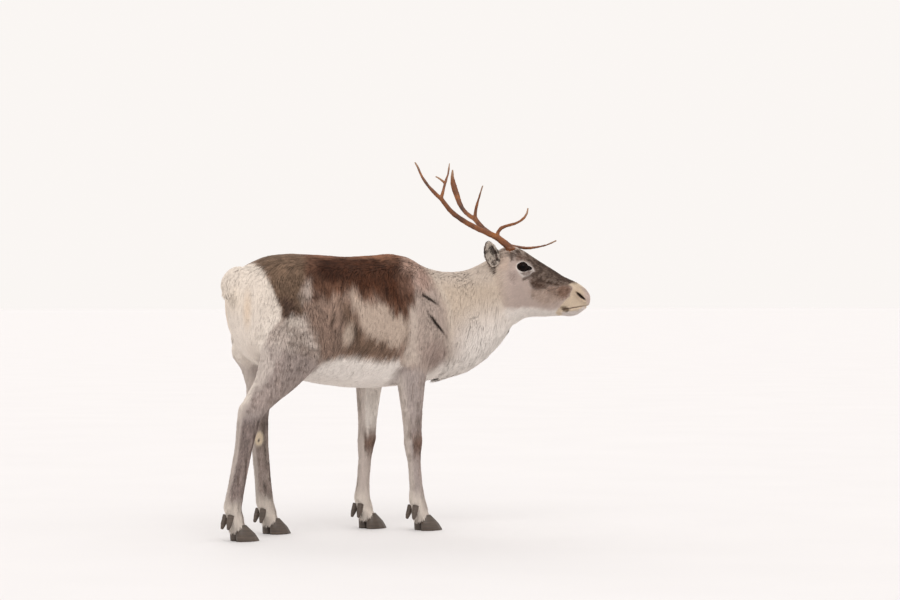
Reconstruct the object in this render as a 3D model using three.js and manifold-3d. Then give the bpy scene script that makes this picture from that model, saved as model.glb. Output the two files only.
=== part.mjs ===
// A reindeer cow in winter coat, life size, standing with its head raised and turned to its right.
// Millimetres. +X runs along the trunk towards the chest, +Y to the animal's left, +Z up. The soles stand on
// Z = 0. The flesh is lofted over named cross-sections that carry the outline of the coat, then parted where
// a person would name the parts. Hooves, dew claws, eyes and antlers are pieces of their own.
import * as THREE from "three";
import { mergeVertices } from "three/addons/utils/BufferGeometryUtils.js";
import Module from "manifold-3d";

const wasm = await Module();
wasm.setup();

// Driving dimensions
const WITHERS_HEIGHT = 958; // floor to the coat over the withers
const GAP = 0.35; // clear space between neighbouring pieces
const NECK_START = 290; // where the neck begins to turn, along the body line
const POLL = 657; // the back of the skull, along the body line
const HEAD_TURN = -45; // degrees that the head is turned from the trunk, to the right
const EYE_RADIUS = 18;
const FETLOCK_HEIGHT = 108;
const CORONET_HEIGHT = 56; // where hair meets hoof
const FORE_TRACK = 88; // midline to the middle of a fore foot
const HIND_TRACK = 92;
const BODY_SIDES = 20; // facets round trunk, neck and head
const LEG_SIDES = 10; // facets round a leg
const SLEEVE_SIDES = 8;
const SLEEVE_REACH = 40; // how far the sleeve that parts a leg is widened towards its outer side
const SLEEVE_SLACK = 14;
const LIMB_CUTTER = [900, 400, 400]; // sizes of the boxes that part limbs, and trunk, neck and head
const BODY_CUTTER = [1200, 1200, 1600];

const radians = THREE.MathUtils.degToRad;
const UP = new THREE.Vector3(0, 0, 1);

const colours = {
  coatBrown: 0x5e4a3e,
  coatGrey: 0x9b8f86,
  coatCream: 0xd9cdbd,
  coatWhite: 0xeae2d6,
  hoof: 0x2a2522,
  antler: 0x8a4a22,
  eye: 0x0d0a0a,
};

// Smooth values between rows of stations. Each key is read by a cubic that never overshoots its stations.
function monotone(knots, values, at) {
  const n = knots.length;
  if (at <= knots[0]) return values[0];
  if (at >= knots[n - 1]) return values[n - 1];
  let i = 0;
  while (knots[i + 1] < at) i += 1;
  const chord = (k) => (values[k + 1] - values[k]) / (knots[k + 1] - knots[k]);
  const slope = (k) => {
    if (k === 0 || k === n - 1) return chord(Math.min(k, n - 2));
    const before = chord(k - 1);
    const after = chord(k);
    return before * after <= 0 ? 0 : (2 * before * after) / (before + after);
  };
  const span = knots[i + 1] - knots[i];
  const t = (at - knots[i]) / span;
  const t2 = t * t;
  const t3 = t2 * t;
  return (
    (2 * t3 - 3 * t2 + 1) * values[i] +
    (t3 - 2 * t2 + t) * span * slope(i) +
    (3 * t2 - 2 * t3) * values[i + 1] +
    (t3 - t2) * span * slope(i + 1)
  );
}

function between(stations, knots, at) {
  const found = {};
  for (const key of Object.keys(stations[0])) {
    if (typeof stations[0][key] === "number")
      found[key] = monotone(knots, stations.map((s) => s[key]), at);
  }
  return found;
}

// The edge of one cross-section at an angle: round = 2 is an ellipse, more is boxier, less is sharper.
function edge(section, angle, grow) {
  const c = Math.cos(angle);
  const s = Math.sin(angle);
  const round = s > 0 ? section.roundTop : section.roundLow;
  const power = 2 / round;
  const reach = (s > 0 ? section.top : section.low) + grow;
  const half = c > 0 ? section.half : (section.inner ?? section.half);
  const across = (half + grow) * Math.sign(c) * Math.abs(c) ** power;
  const up = reach * Math.sign(s) * Math.abs(s) ** power;
  return section.centre
    .clone()
    .addScaledVector(section.side, across)
    .addScaledVector(section.up, up);
}

// A closed skin over cross-sections: a cylinder whose rings are moved onto them, as a solid. grow makes it
// larger all round and at both ends.
function loft(sections, sides, grow = 0) {
  const rows = sections.length - 1;
  const pushed = (end, next) => {
    const out = sections[end].centre.clone().sub(sections[next].centre).setLength(grow);
    return { ...sections[end], centre: sections[end].centre.clone().add(out) };
  };
  const rings = sections.slice();
  rings[0] = pushed(0, 1);
  rings[rows] = pushed(rows, rows - 1);
  const skin = new THREE.CylinderGeometry(1, 1, 1, sides, rows);
  const p = skin.getAttribute("position");
  for (let i = 0; i < p.count; i += 1) {
    const row = Math.round((0.5 - p.getY(i)) * rows);
    const rim = Math.hypot(p.getX(i), p.getZ(i)) > 0.5;
    const section = rings[row];
    const place = rim
      ? edge(section, Math.atan2(p.getX(i), p.getZ(i)), grow)
      : section.centre;
    p.setXYZ(i, place.x, place.y, place.z);
  }
  return solid(skin);
}

function solid(geometry) {
  const bare = geometry.clone();
  bare.deleteAttribute("normal");
  bare.deleteAttribute("uv");
  const merged = mergeVertices(bare, 1e-3);
  const made = new wasm.Manifold(
    new wasm.Mesh({
      numProp: 3,
      vertProperties: new Float32Array(merged.getAttribute("position").array),
      triVerts: new Uint32Array(merged.index.array),
    }),
  );
  if (made.volume() >= 0) return made;
  const flipped = merged.index.array.slice();
  for (let i = 0; i < flipped.length; i += 3)
    [flipped[i + 1], flipped[i + 2]] = [flipped[i + 2], flipped[i + 1]];
  return new wasm.Manifold(
    new wasm.Mesh({
      numProp: 3,
      vertProperties: new Float32Array(merged.getAttribute("position").array),
      triVerts: new Uint32Array(flipped),
    }),
  );
}

// A box with one face through a point: everything ahead of that face, as far as `size` on each side.
function ahead(point, direction, size, setBack = 0) {
  const box = new THREE.BoxGeometry(size[0], size[1], size[2]);
  box.translate(size[0] / 2 - setBack, 0, 0);
  const turn = new THREE.Quaternion().setFromUnitVectors(
    new THREE.Vector3(1, 0, 0),
    direction.clone().normalize(),
  );
  box.applyQuaternion(turn);
  box.translate(point.x, point.y, point.z);
  return solid(box);
}

// Parts a solid at a plane, leaving the gap. Returns [what lies behind, what lies ahead].
function part(whole, point, direction, size) {
  const behind = whole.subtract(ahead(point, direction, size, GAP));
  const front = whole.intersect(ahead(point, direction, size));
  return [behind, front];
}

function ball(radii, place, turn = new THREE.Quaternion(), across = 16, down = 10) {
  const g = new THREE.SphereGeometry(1, across, down);
  g.scale(radii.x, radii.y, radii.z);
  g.applyQuaternion(turn);
  g.translate(place.x, place.y, place.z);
  return solid(g);
}

// The body line, seen from above: straight along the trunk, then a curve through the neck to the head
function heading(along) {
  const t = THREE.MathUtils.smoothstep(along, NECK_START, POLL);
  return radians(HEAD_TURN) * t;
}

function bodyLine(along) {
  const place = new THREE.Vector3(Math.min(along, NECK_START), 0, 0);
  const stride = 5;
  for (let s = NECK_START; s < along; s += stride) {
    const step = Math.min(stride, along - s);
    const turn = heading(s + step / 2);
    place.x += step * Math.cos(turn);
    place.y += step * Math.sin(turn);
  }
  return place;
}

// Cross-sections of rump, trunk, neck and head. top and low are heights above the floor, wide is the height
// of the widest line as a share of the way up, half is half of the width.
const bodyStations = [
  { name: "rump end", along: -396, top: 838, low: 742, wide: 0.5, half: 26, roundTop: 2, roundLow: 2 },
  { name: "buttock", along: -388, top: 866, low: 700, wide: 0.5, half: 64, roundTop: 2.1, roundLow: 2 },
  { name: "pin bone", along: -364, top: 893, low: 640, wide: 0.55, half: 103, roundTop: 2.1, roundLow: 2 },
  { name: "tail root", along: -318, top: 919, low: 588, wide: 0.58, half: 132, roundTop: 2.1, roundLow: 2 },
  { name: "croup", along: -250, top: 946, low: 552, wide: 0.58, half: 149, roundTop: 2.1, roundLow: 2 },
  { name: "hip", along: -170, top: 953, low: 524, wide: 0.54, half: 163, roundTop: 2.1, roundLow: 2.05 },
  { name: "loin", along: -60, top: 950, low: 503, wide: 0.48, half: 180, roundTop: 2.1, roundLow: 2.1 },
  { name: "back", along: 60, top: 944, low: 488, wide: 0.45, half: 186, roundTop: 2.1, roundLow: 2.15 },
  { name: "ribs", along: 165, top: 950, low: 484, wide: 0.45, half: 174, roundTop: 2, roundLow: 2.15 },
  { name: "withers", along: 242, top: WITHERS_HEIGHT, low: 488, wide: 0.44, half: 156, roundTop: 1.85,
    roundLow: 2.1 },
  { name: "shoulder", along: 312, top: 948, low: 492, wide: 0.44, half: 143, roundTop: 1.8, roundLow: 2 },
  { name: "breast", along: 375, top: 918, low: 498, wide: 0.45, half: 134, roundTop: 1.85, roundLow: 1.95 },
  { name: "neck base", along: 430, top: 901, low: 506, wide: 0.48, half: 126, roundTop: 1.9, roundLow: 1.9 },
  { name: "lower neck", along: 486, top: 896, low: 521, wide: 0.5, half: 117, roundTop: 1.9, roundLow: 1.9 },
  { name: "mid neck", along: 541, top: 903, low: 542, wide: 0.54, half: 107, roundTop: 1.95, roundLow: 1.9 },
  { name: "upper neck", along: 596, top: 930, low: 577, wide: 0.57, half: 97, roundTop: 2, roundLow: 1.9 },
  { name: "nape", along: 642, top: 957, low: 622, wide: 0.6, half: 87, roundTop: 2, roundLow: 1.9 },
  { name: "poll", along: 671, top: 969, low: 657, wide: 0.62, half: 79, roundTop: 2.1, roundLow: 1.85 },
  { name: "throat", along: 701, top: 975, low: 693, wide: 0.64, half: 74, roundTop: 2.2, roundLow: 1.8 },
  { name: "jaw angle", along: 729, top: 972, low: 717, wide: 0.66, half: 73, roundTop: 2.3, roundLow: 1.8 },
  { name: "brow", along: 748, top: 961, low: 728, wide: 0.66, half: 71, roundTop: 2.3, roundLow: 1.8 },
  { name: "tear pit", along: 777, top: 941, low: 731, wide: 0.62, half: 64, roundTop: 2.2, roundLow: 1.85 },
  { name: "cheek", along: 817, top: 916, low: 731, wide: 0.56, half: 53, roundTop: 2.1, roundLow: 2 },
  { name: "nasal bone", along: 849, top: 897, low: 735, wide: 0.52, half: 46, roundTop: 2.1, roundLow: 2.1 },
  { name: "muzzle root", along: 877, top: 878, low: 736, wide: 0.5, half: 42, roundTop: 2.2, roundLow: 2.2 },
  { name: "lip corner", along: 903, top: 864, low: 734, wide: 0.52, half: 42, roundTop: 2.3, roundLow: 2.2 },
  { name: "muzzle", along: 927, top: 852, low: 740, wide: 0.55, half: 42, roundTop: 2.4, roundLow: 2.2 },
  { name: "nostril", along: 948, top: 838, low: 755, wide: 0.6, half: 38, roundTop: 2.4, roundLow: 2.2 },
  { name: "upper lip", along: 964, top: 824, low: 769, wide: 0.6, half: 29, roundTop: 2.3, roundLow: 2.2 },
  { name: "nose tip", along: 973, top: 809, low: 785, wide: 0.55, half: 15, roundTop: 2.1, roundLow: 2.1 },
];
function bodySection(s) {
  const turn = heading(s.along);
  const level = s.low + (s.top - s.low) * s.wide;
  return {
    centre: bodyLine(s.along).setZ(level),
    side: new THREE.Vector3(-Math.sin(turn), Math.cos(turn), 0),
    up: UP,
    top: s.top - level,
    low: level - s.low,
    half: s.half,
    roundTop: s.roundTop,
    roundLow: s.roundLow,
  };
}

function bodySolid(grow) {
  return loft(bodyStations.map(bodySection), BODY_SIDES, grow);
}

// A place on the head: mm forward of the poll, mm to the head's left, and height above the floor
function onHead(forward, left, height) {
  const turn = radians(HEAD_TURN);
  const poll = bodyLine(POLL);
  return new THREE.Vector3(
    poll.x + forward * Math.cos(turn) - left * Math.sin(turn),
    poll.y + forward * Math.sin(turn) + left * Math.cos(turn),
    height,
  );
}

const headTurn = new THREE.Quaternion().setFromAxisAngle(UP, radians(HEAD_TURN));
const HEAD_AHEAD = new THREE.Vector3(1, 0, 0).applyQuaternion(headTurn);

// A limb or tail: cross-sections set square to the run of the stations on both sides of each, which is taken
// over a few stations, so that sections don't cross each other inside a bend
const RUN_SPAN = 2;
function limbSections(stations) {
  return stations.map((s, i) => {
    const before = stations[Math.max(i - RUN_SPAN, 0)];
    const after = stations[Math.min(i + RUN_SPAN, stations.length - 1)];
    const run = new THREE.Vector3(after.x - before.x, after.y - before.y, after.z - before.z).normalize();
    const forward = new THREE.Vector3().crossVectors(run, new THREE.Vector3(0, 1, 0)).normalize();
    const side = new THREE.Vector3().crossVectors(forward, run).normalize();
    return {
      centre: new THREE.Vector3(s.x, s.y, s.z),
      side,
      up: forward,
      top: s.front,
      low: s.back,
      half: s.half,
      roundTop: s.round ?? 2,
      roundLow: s.round ?? 2,
    };
  });
}

// Fore legs. The thickness is the same on both, and the joints' places are each leg's own.
const foreThickness = [
  { joint: "blade", share: 0, front: 24, back: 30, half: 20 },
  { joint: "blade", share: 0.25, front: 62, back: 72, half: 42 },
  { joint: "blade", share: 0.6, front: 84, back: 98, half: 52 },
  { joint: "point", share: 0.0, front: 84, back: 108, half: 56 },
  { joint: "point", share: 0.6, front: 62, back: 84, half: 48 },
  { joint: "elbow", share: 0, front: 64, back: 68, half: 44 },
  { joint: "elbow", share: 0.28, front: 48, back: 56, half: 38 },
  { joint: "elbow", share: 0.6, front: 37, back: 42, half: 32 },
  { joint: "elbow", share: 0.86, front: 33, back: 33, half: 29 },
  { joint: "knee", share: 0.0, front: 35, back: 32, half: 29 },
  { joint: "knee", share: 0.16, front: 27, back: 30, half: 26 },
  { joint: "knee", share: 0.34, front: 22, back: 24, half: 21 },
  { joint: "knee", share: 0.76, front: 22, back: 24, half: 21 },
  { joint: "fetlock", share: 0.0, front: 27, back: 31, half: 27 },
  { joint: "fetlock", share: 0.55, front: 25, back: 29, half: 27 },
  { joint: "coronet", share: 0, front: 28, back: 29, half: 32 },
];
const hindThickness = [
  { joint: "hip", share: 0, front: 34, back: 46, half: 26 },
  { joint: "hip", share: 0.22, front: 84, back: 104, half: 60 },
  { joint: "hip", share: 0.55, front: 108, back: 136, half: 78 },
  { joint: "hip", share: 0.88, front: 100, back: 142, half: 78 },
  { joint: "stifle", share: 0.14, front: 84, back: 134, half: 68 },
  { joint: "stifle", share: 0.4, front: 70, back: 90, half: 52 },
  { joint: "stifle", share: 0.68, front: 54, back: 56, half: 38 },
  { joint: "stifle", share: 0.9, front: 48, back: 46, half: 31 },
  { joint: "hock", share: 0.04, front: 42, back: 48, half: 30 },
  { joint: "hock", share: 0.16, front: 36, back: 42, half: 29 },
  { joint: "hock", share: 0.4, front: 29, back: 32, half: 24 },
  { joint: "hock", share: 0.8, front: 28, back: 31, half: 23 },
  { joint: "fetlock", share: 0.0, front: 30, back: 34, half: 27 },
  { joint: "fetlock", share: 0.55, front: 25, back: 29, half: 27 },
  { joint: "coronet", share: 0, front: 28, back: 29, half: 32 },
];

// Joint places [forward, height, share of the foot's track], each row from the body down
const FORE_NAMES = ["upper_arm", "forearm", "cannon", "pastern"];
const HIND_NAMES = ["thigh", "gaskin", "cannon", "pastern"];

const legs = {
  foreleg_right: {
    side: -1, track: FORE_TRACK, thickness: foreThickness,
    joints: {
      blade: [252, 880, 0.95], point: [314, 672, 1.24], elbow: [264, 575, 1.16], knee: [276, 306, 1.04],
      fetlock: [297, FETLOCK_HEIGHT, 1], coronet: [321, 44, 1],
    },
    cuts: ["elbow", "knee", "fetlock"], names: FORE_NAMES, splay: 4,
  },
  foreleg_left: {
    side: 1, track: FORE_TRACK, thickness: foreThickness,
    joints: {
      blade: [248, 880, 0.95], point: [300, 672, 1.24], elbow: [234, 575, 1.16], knee: [209, 314, 1.04],
      fetlock: [188, FETLOCK_HEIGHT, 1], coronet: [212, 44, 1],
    },
    cuts: ["elbow", "knee", "fetlock"], names: FORE_NAMES, splay: 3,
  },
  hindleg_right: {
    side: -1, track: HIND_TRACK, thickness: hindThickness,
    joints: {
      hip: [-236, 866, 0.8], stifle: [-198, 612, 1.08], hock: [-380, 430, 1.06],
      fetlock: [-447, FETLOCK_HEIGHT, 1], coronet: [-424, 44, 1],
    },
    cuts: ["stifle", "hock", "fetlock"], names: HIND_NAMES, splay: 5,
  },
  hindleg_left: {
    side: 1, track: HIND_TRACK, thickness: hindThickness,
    joints: {
      hip: [-240, 866, 0.8], stifle: [-184, 620, 1.1], hock: [-238, 428, 1],
      fetlock: [-209, FETLOCK_HEIGHT, 0.95], coronet: [-183, 44, 0.95],
    },
    cuts: ["stifle", "hock", "fetlock"], names: HIND_NAMES, splay: 3,
  },
};

function jointPlace(leg, name) {
  const [x, z, spread] = leg.joints[name];
  return new THREE.Vector3(x, leg.side * leg.track * spread, z);
}

function legStations(leg) {
  const order = Object.keys(leg.joints);
  return leg.thickness.map((row) => {
    const from = jointPlace(leg, row.joint);
    const next = order[order.indexOf(row.joint) + 1];
    const place = next ? from.clone().lerp(jointPlace(leg, next), row.share) : from;
    return { x: place.x, y: place.y, z: place.z, front: row.front, back: row.back, half: row.half };
  });
}

// Each hoof is two claws with flat soles, curved in towards each other at the toe, and two dew claws behind.
const CLAW_LENGTH = 88;
const CLAW_WIDTH = 43;
const clawSections = [
  { height: 0, front: 0.63, back: 0.39, outer: 0.57, inner: 0.45 },
  { height: 0.45, front: 0.53, back: 0.36, outer: 0.51, inner: 0.42 },
  { height: 1, front: 0.32, back: 0.28, outer: 0.35, inner: 0.35 },
];

function claw(coronet, side, inner, splay) {
  const turn = radians(splay * side - inner * 4);
  const forward = new THREE.Vector3(Math.cos(turn), Math.sin(turn), 0);
  const across = new THREE.Vector3(-Math.sin(turn), Math.cos(turn), 0);
  const middle = coronet.clone().setZ(0).addScaledVector(across, inner * (CLAW_WIDTH * 0.45 + 1.2));
  const rows = clawSections.map((s) => ({
    centre: middle.clone().addScaledVector(forward, -14 * s.height + 14).setZ(CORONET_HEIGHT * s.height),
    side: across,
    up: forward,
    top: CLAW_LENGTH * s.front,
    low: CLAW_LENGTH * s.back,
    half: CLAW_WIDTH * (inner > 0 ? s.outer : s.inner),
    inner: CLAW_WIDTH * (inner > 0 ? s.inner : s.outer),
    roundTop: 1.75,
    roundLow: 2.2,
  }));
  return loft(rows, 10);
}

function dewClaw(fetlock, inner) {
  const root = fetlock.clone().add(new THREE.Vector3(-15, inner * 14, -20));
  const tip = fetlock.clone().add(new THREE.Vector3(-30, inner * 20, -68));
  const stations = [0, 0.6, 1].map((t) => {
    const place = root.clone().lerp(tip, t);
    const girth = 14 - 8 * t * t;
    return { x: place.x, y: place.y, z: place.z, front: girth, back: girth, half: girth * 0.9 };
  });
  return loft(limbSections(stations), 5);
}

// Antlers: round tapering branches through places [forward of the poll, outward, height] on the head. girth
// holds the diameters at even steps from foot to tip, and palm how much wider than thick a flat branch is.
function branch(shoot, outward, grow = 0) {
  const { places, girth, palm } = shoot;
  const rings = Math.round(places.length * 1.25);
  const sides = girth[0] > 20 ? 7 : 5;
  const along = girth.map((g, i) => i / (girth.length - 1));
  const points = places.map(([f, o, h]) => onHead(f, outward * o, h));
  const curve = new THREE.CatmullRomCurve3(points, false, "centripetal");
  const frames = curve.computeFrenetFrames(rings, false);
  const rows = [];
  for (let i = 0; i <= rings; i += 1) {
    const t = i / rings;
    const radius = monotone(along, girth, t) / 2;
    const run = frames.tangents[i];
    const flat = HEAD_AHEAD.clone().addScaledVector(run, -HEAD_AHEAD.dot(run)).normalize();
    const side = palm ? flat : frames.normals[i];
    rows.push({
      centre: curve.getPointAt(t),
      side,
      up: run.clone().cross(side),
      top: radius, low: radius, half: radius + (palm ? monotone(along, palm, t) / 2 : 0),
      roundTop: 2, roundLow: 2,
    });
  }
  return loft(rows, sides, grow);
}

const antlers = {
  antler_right: {
    outward: -1,
    beam: {
      girth: [27, 19, 16],
      places: [[44, 40, 950], [43, 44, 972], [26, 60, 989], [0, 82, 1010], [-29, 106, 1024],
        [-64, 128, 1041], [-100, 150, 1062], [-132, 170, 1085], [-152, 182, 1106], [-180, 195, 1146]],
    },
    shoots: {
      rear_branch: {
        girth: [15, 6],
        places: [[-174, 192, 1136], [-201, 202, 1163], [-222, 204, 1187], [-243, 200, 1218],
          [-256, 192, 1246], [-269, 185, 1266]],
      },
      front_branch: {
        girth: [13, 5],
        places: [[-176, 193, 1140], [-168, 190, 1170], [-163, 180, 1198], [-157, 165, 1222],
          [-155, 142, 1264]],
      },
      bez_tine: {
        girth: [15, 6],
        places: [[2, 80, 1009], [8, 83, 1034], [32, 88, 1047], [64, 92, 1055], [88, 94, 1067],
          [105, 92, 1084], [111, 88, 1110]],
      },
      snag: { girth: [9, 5], places: [[-164, 182, 1192], [-176, 187, 1204], [-195, 193, 1216]] },
    },
  },
  antler_left: {
    outward: 1,
    beam: {
      girth: [27, 19, 18],
      places: [[40, 40, 950], [32, 44, 975], [8, 58, 993], [-18, 80, 1009], [-50, 108, 1027],
        [-82, 130, 1049], [-110, 150, 1081]],
    },
    shoots: {
      upper_beam: {
        girth: [17, 15, 15, 6],
        palm: [0, 2, 9, 0],
        places: [[-107, 148, 1077], [-147, 168, 1104], [-169, 183, 1133], [-182, 192, 1165],
          [-192, 196, 1193], [-198, 197, 1220], [-196, 190, 1257]],
      },
      middle_tine: {
        girth: [13, 5],
        places: [[-109, 149, 1081], [-108, 150, 1109], [-101, 149, 1135], [-91, 145, 1166],
          [-80, 137, 1198]],
      },
      brow_tine: {
        girth: [13, 5],
        places: [[30, 46, 982], [60, 50, 977], [91, 52, 974], [127, 56, 978], [155, 58, 984], [175, 58, 992],
          [192, 56, 1000]],
      },
    },
  },
};

// Ears: a shallow scoop on a short stalk, its mouth turned outward and a little forward
const ears = {
  ear_right: { outward: -1, root: [-4, 56, 894], tip: [-24, 122, 992] },
  ear_left: { outward: 1, root: [-4, 56, 894], tip: [-40, 134, 968] },
};
const earShape = [
  { share: 0, half: 14, thick: 13 },
  { share: 0.25, half: 21, thick: 14 },
  { share: 0.55, half: 26, thick: 13 },
  { share: 0.82, half: 19, thick: 9 },
  { share: 1, half: 6, thick: 4 },
];

const EAR_WALL = 4;
const EAR_BED = 6; // how far the hollow is set out from the ear's middle plane

function ear({ outward, root, tip }) {
  const from = onHead(root[0], outward * root[1], root[2]);
  const to = onHead(tip[0], outward * tip[1], tip[2]);
  const run = to.clone().sub(from).normalize();
  const mouth = onHead(20, outward * 100, 0).sub(onHead(0, 0, 0)).setZ(-30).normalize();
  const side = new THREE.Vector3().crossVectors(run, mouth).normalize();
  const face = new THREE.Vector3().crossVectors(side, run).normalize();
  const row = (share, setOut, top, low, half) => ({
    centre: from.clone().lerp(to, share).addScaledVector(face, setOut),
    side, up: face, top, low, half, roundTop: 2, roundLow: 2,
  });
  const shell = earShape.map((s) => row(s.share, 0, s.thick * 0.42, s.thick, s.half));
  const knots = earShape.map((s) => s.share);
  const hollow = [0.3, 0.5, 0.72, 0.93].map((share) => {
    const s = between(earShape, knots, share);
    return row(share, EAR_BED, 14, Math.max(s.thick - 1, 3), Math.max(s.half - EAR_WALL, 1.6));
  });
  return loft(shell, 10).subtract(loft(hollow, 8));
}

const root = new THREE.Group();
root.name = "reindeer";

// A cut can leave a crumb beside the piece: only the largest body stays
function largest(made) {
  return made.decompose().sort((a, b) => b.volume() - a.volume())[0];
}

function add(name, made, colour, roughness = 0.9) {
  const mesh = largest(made).getMesh();
  const geometry = new THREE.BufferGeometry();
  geometry.setAttribute("position", new THREE.BufferAttribute(new Float32Array(mesh.vertProperties), 3));
  geometry.setIndex(new THREE.BufferAttribute(new Uint32Array(mesh.triVerts), 1));
  geometry.computeVertexNormals();
  const material = new THREE.MeshStandardMaterial({ color: colour, roughness, metalness: 0 });
  const node = new THREE.Mesh(geometry, material);
  node.name = name;
  root.add(node);
  return node;
}

// The flesh is one solid, from which each leg is parted by a boxy sleeve that reaches past its outer side
let body = bodySolid(0);
for (const leg of Object.values(legs)) body = body.add(loft(limbSections(legStations(leg)), LEG_SIDES));

function legSleeve(leg, grow) {
  const wide = legStations(leg).map((s) => ({
    ...s, y: s.y + leg.side * SLEEVE_REACH, half: s.half + SLEEVE_REACH, round: 4,
  }));
  return loft(limbSections(wide), SLEEVE_SIDES, SLEEVE_SLACK + grow);
}

// Legs and feet
for (const [legName, leg] of Object.entries(legs)) {
  let rest = body.intersect(legSleeve(leg, 0));
  body = body.subtract(legSleeve(leg, GAP));
  const order = Object.keys(leg.joints);
  leg.cuts.forEach((joint, i) => {
    const at = jointPlace(leg, joint);
    const before = jointPlace(leg, order[order.indexOf(joint) - 1]);
    const after = jointPlace(leg, order[order.indexOf(joint) + 1]);
    const run = after.clone().sub(at).normalize().add(at.clone().sub(before).normalize());
    const [kept, onward] = part(rest, at, run, LIMB_CUTTER);
    add(`${legName}_${leg.names[i]}`, kept, colours.coatGrey);
    rest = onward;
  });
  add(`${legName}_${leg.names[3]}`, rest, colours.coatGrey);
  const flesh = loft(limbSections(legStations(leg)), LEG_SIDES, GAP);
  for (const [word, inner] of [["inner", -leg.side], ["outer", leg.side]]) {
    const hoof = claw(jointPlace(leg, "coronet"), leg.side, inner, leg.splay);
    const dew = dewClaw(jointPlace(leg, "fetlock"), inner);
    add(`${legName}_hoof_${word}`, hoof.subtract(flesh), colours.hoof, 0.5);
    add(`${legName}_dewclaw_${word}`, dew.subtract(flesh), colours.hoof, 0.5);
  }
}

// Body, parted into trunk, neck, head and lower jaw
const bodyGrown = bodySolid(GAP);
const neckFace = new THREE.Vector3(404, 0, 730);
const neckRun = new THREE.Vector3(1, 0, 0.27);
const [trunk, front] = part(body, neckFace, neckRun, BODY_CUTTER);
const headFace = onHead(12, 0, 830);
const headRun = new THREE.Vector3(1, 0, 0.3).applyQuaternion(headTurn);
const [neck, skull] = part(front, headFace, headRun, BODY_CUTTER);
let head = skull;
add("trunk", trunk, colours.coatBrown);
add("neck", neck, colours.coatCream);

// Eyes sit in sockets behind lids
const LID = new THREE.Vector3(30, 21, 22);
const EYE_OPENING = new THREE.Vector3(20, 16, 13.5);
for (const [name, outward] of [["eye_right", -1], ["eye_left", 1]]) {
  const centre = onHead(90, outward * 58, 906);
  const lid = ball(LID, onHead(91, outward * 55, 907), headTurn, 10, 6);
  const opening = ball(EYE_OPENING, onHead(91, outward * 74, 906), headTurn, 10, 6);
  const radii = new THREE.Vector3(EYE_RADIUS, EYE_RADIUS, EYE_RADIUS);
  const socket = ball(radii.clone().addScalar(GAP), centre, headTurn, 10, 8);
  head = head.add(lid).subtract(opening).subtract(socket);
  add(name, ball(radii, centre, headTurn, 10, 8), colours.eye, 0.1);
}

// Nostrils are slits that slant down and forward
const NOSTRIL = new THREE.Vector3(14, 7, 4.5);
for (const outward of [-1, 1]) {
  const slant = new THREE.Euler(0, radians(38), radians(-18 * outward));
  const turn = headTurn.clone().multiply(new THREE.Quaternion().setFromEuler(slant));
  head = head.subtract(ball(NOSTRIL, onHead(287, outward * 36, 807), turn, 8, 4));
}

// The mouth line parts the lower jaw from the head
const MOUTH_SLOPE = -9; // degrees, rising forward
const LIP_GAP = 1.4;
const mouthCorner = onHead(210, 0, 757);
const jawTilt = new THREE.Quaternion().setFromAxisAngle(new THREE.Vector3(0, 1, 0), radians(MOUTH_SLOPE));
const jawTurn = headTurn.clone().multiply(jawTilt);
function jawRegion(clear) {
  const region = new THREE.BoxGeometry(400, 260, 200);
  region.translate(200 - clear, 0, -100 + clear);
  region.applyQuaternion(jawTurn);
  region.translate(mouthCorner.x, mouthCorner.y, mouthCorner.z);
  return solid(region);
}
add("lower_jaw", head.intersect(jawRegion(0)), colours.coatCream);
add("head", head.subtract(jawRegion(LIP_GAP)), colours.coatGrey);

for (const [name, shape] of Object.entries(ears))
  add(name, ear(shape).subtract(bodyGrown), colours.coatGrey);

const BURR = new THREE.Vector3(19, 19, 8); // half sizes of the ring of bone at an antler's foot

// Antlers, split at their forks. A shoot is cut back to what is already there.
for (const [name, antler] of Object.entries(antlers)) {
  const { outward, beam, shoots } = antler;
  const [foot, apart] = beam.places[1];
  const burr = (grow) => {
    const radii = BURR.clone().addScalar(grow);
    return ball(radii, onHead(foot, outward * apart, 971), headTurn, 9, 4);
  };
  const whole = branch(beam, outward).add(burr(0)).subtract(bodyGrown);
  add(`${name}_beam`, whole, colours.antler, 0.5);
  let taken = branch(beam, outward, GAP).add(burr(GAP)).add(bodyGrown);
  for (const [word, shoot] of Object.entries(shoots)) {
    add(`${name}_${word}`, branch(shoot, outward).subtract(taken), colours.antler, 0.5);
    taken = taken.add(branch(shoot, outward, GAP));
  }
}

// Tail: a short full brush over the rump
const tailStations = [
  { x: -322, y: 0, z: 880, front: 24, back: 28, half: 26 },
  { x: -356, y: 0, z: 882, front: 26, back: 28, half: 38 },
  { x: -384, y: 2, z: 868, front: 26, back: 27, half: 44 },
  { x: -400, y: 4, z: 846, front: 24, back: 24, half: 42 },
  { x: -408, y: 5, z: 822, front: 18, back: 17, half: 30 },
  { x: -411, y: 6, z: 806, front: 7, back: 7, half: 12 },
];
add("tail", loft(limbSections(tailStations), 9).subtract(bodyGrown), colours.coatWhite);

// The origin is under the middle of the whole, on the floor
const box = new THREE.Box3().setFromObject(root);
root.position.set(-(box.min.x + box.max.x) / 2, -(box.min.y + box.max.y) / 2, 0);

export default root;
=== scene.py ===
"""A reindeer standing in its winter coat, life size: skin, coat of solid tufts, eyes, antlers and hooves."""

import math

import bpy
import numpy as np
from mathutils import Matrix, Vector
from mathutils.bvhtree import BVHTree
from mathutils.kdtree import KDTree


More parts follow.
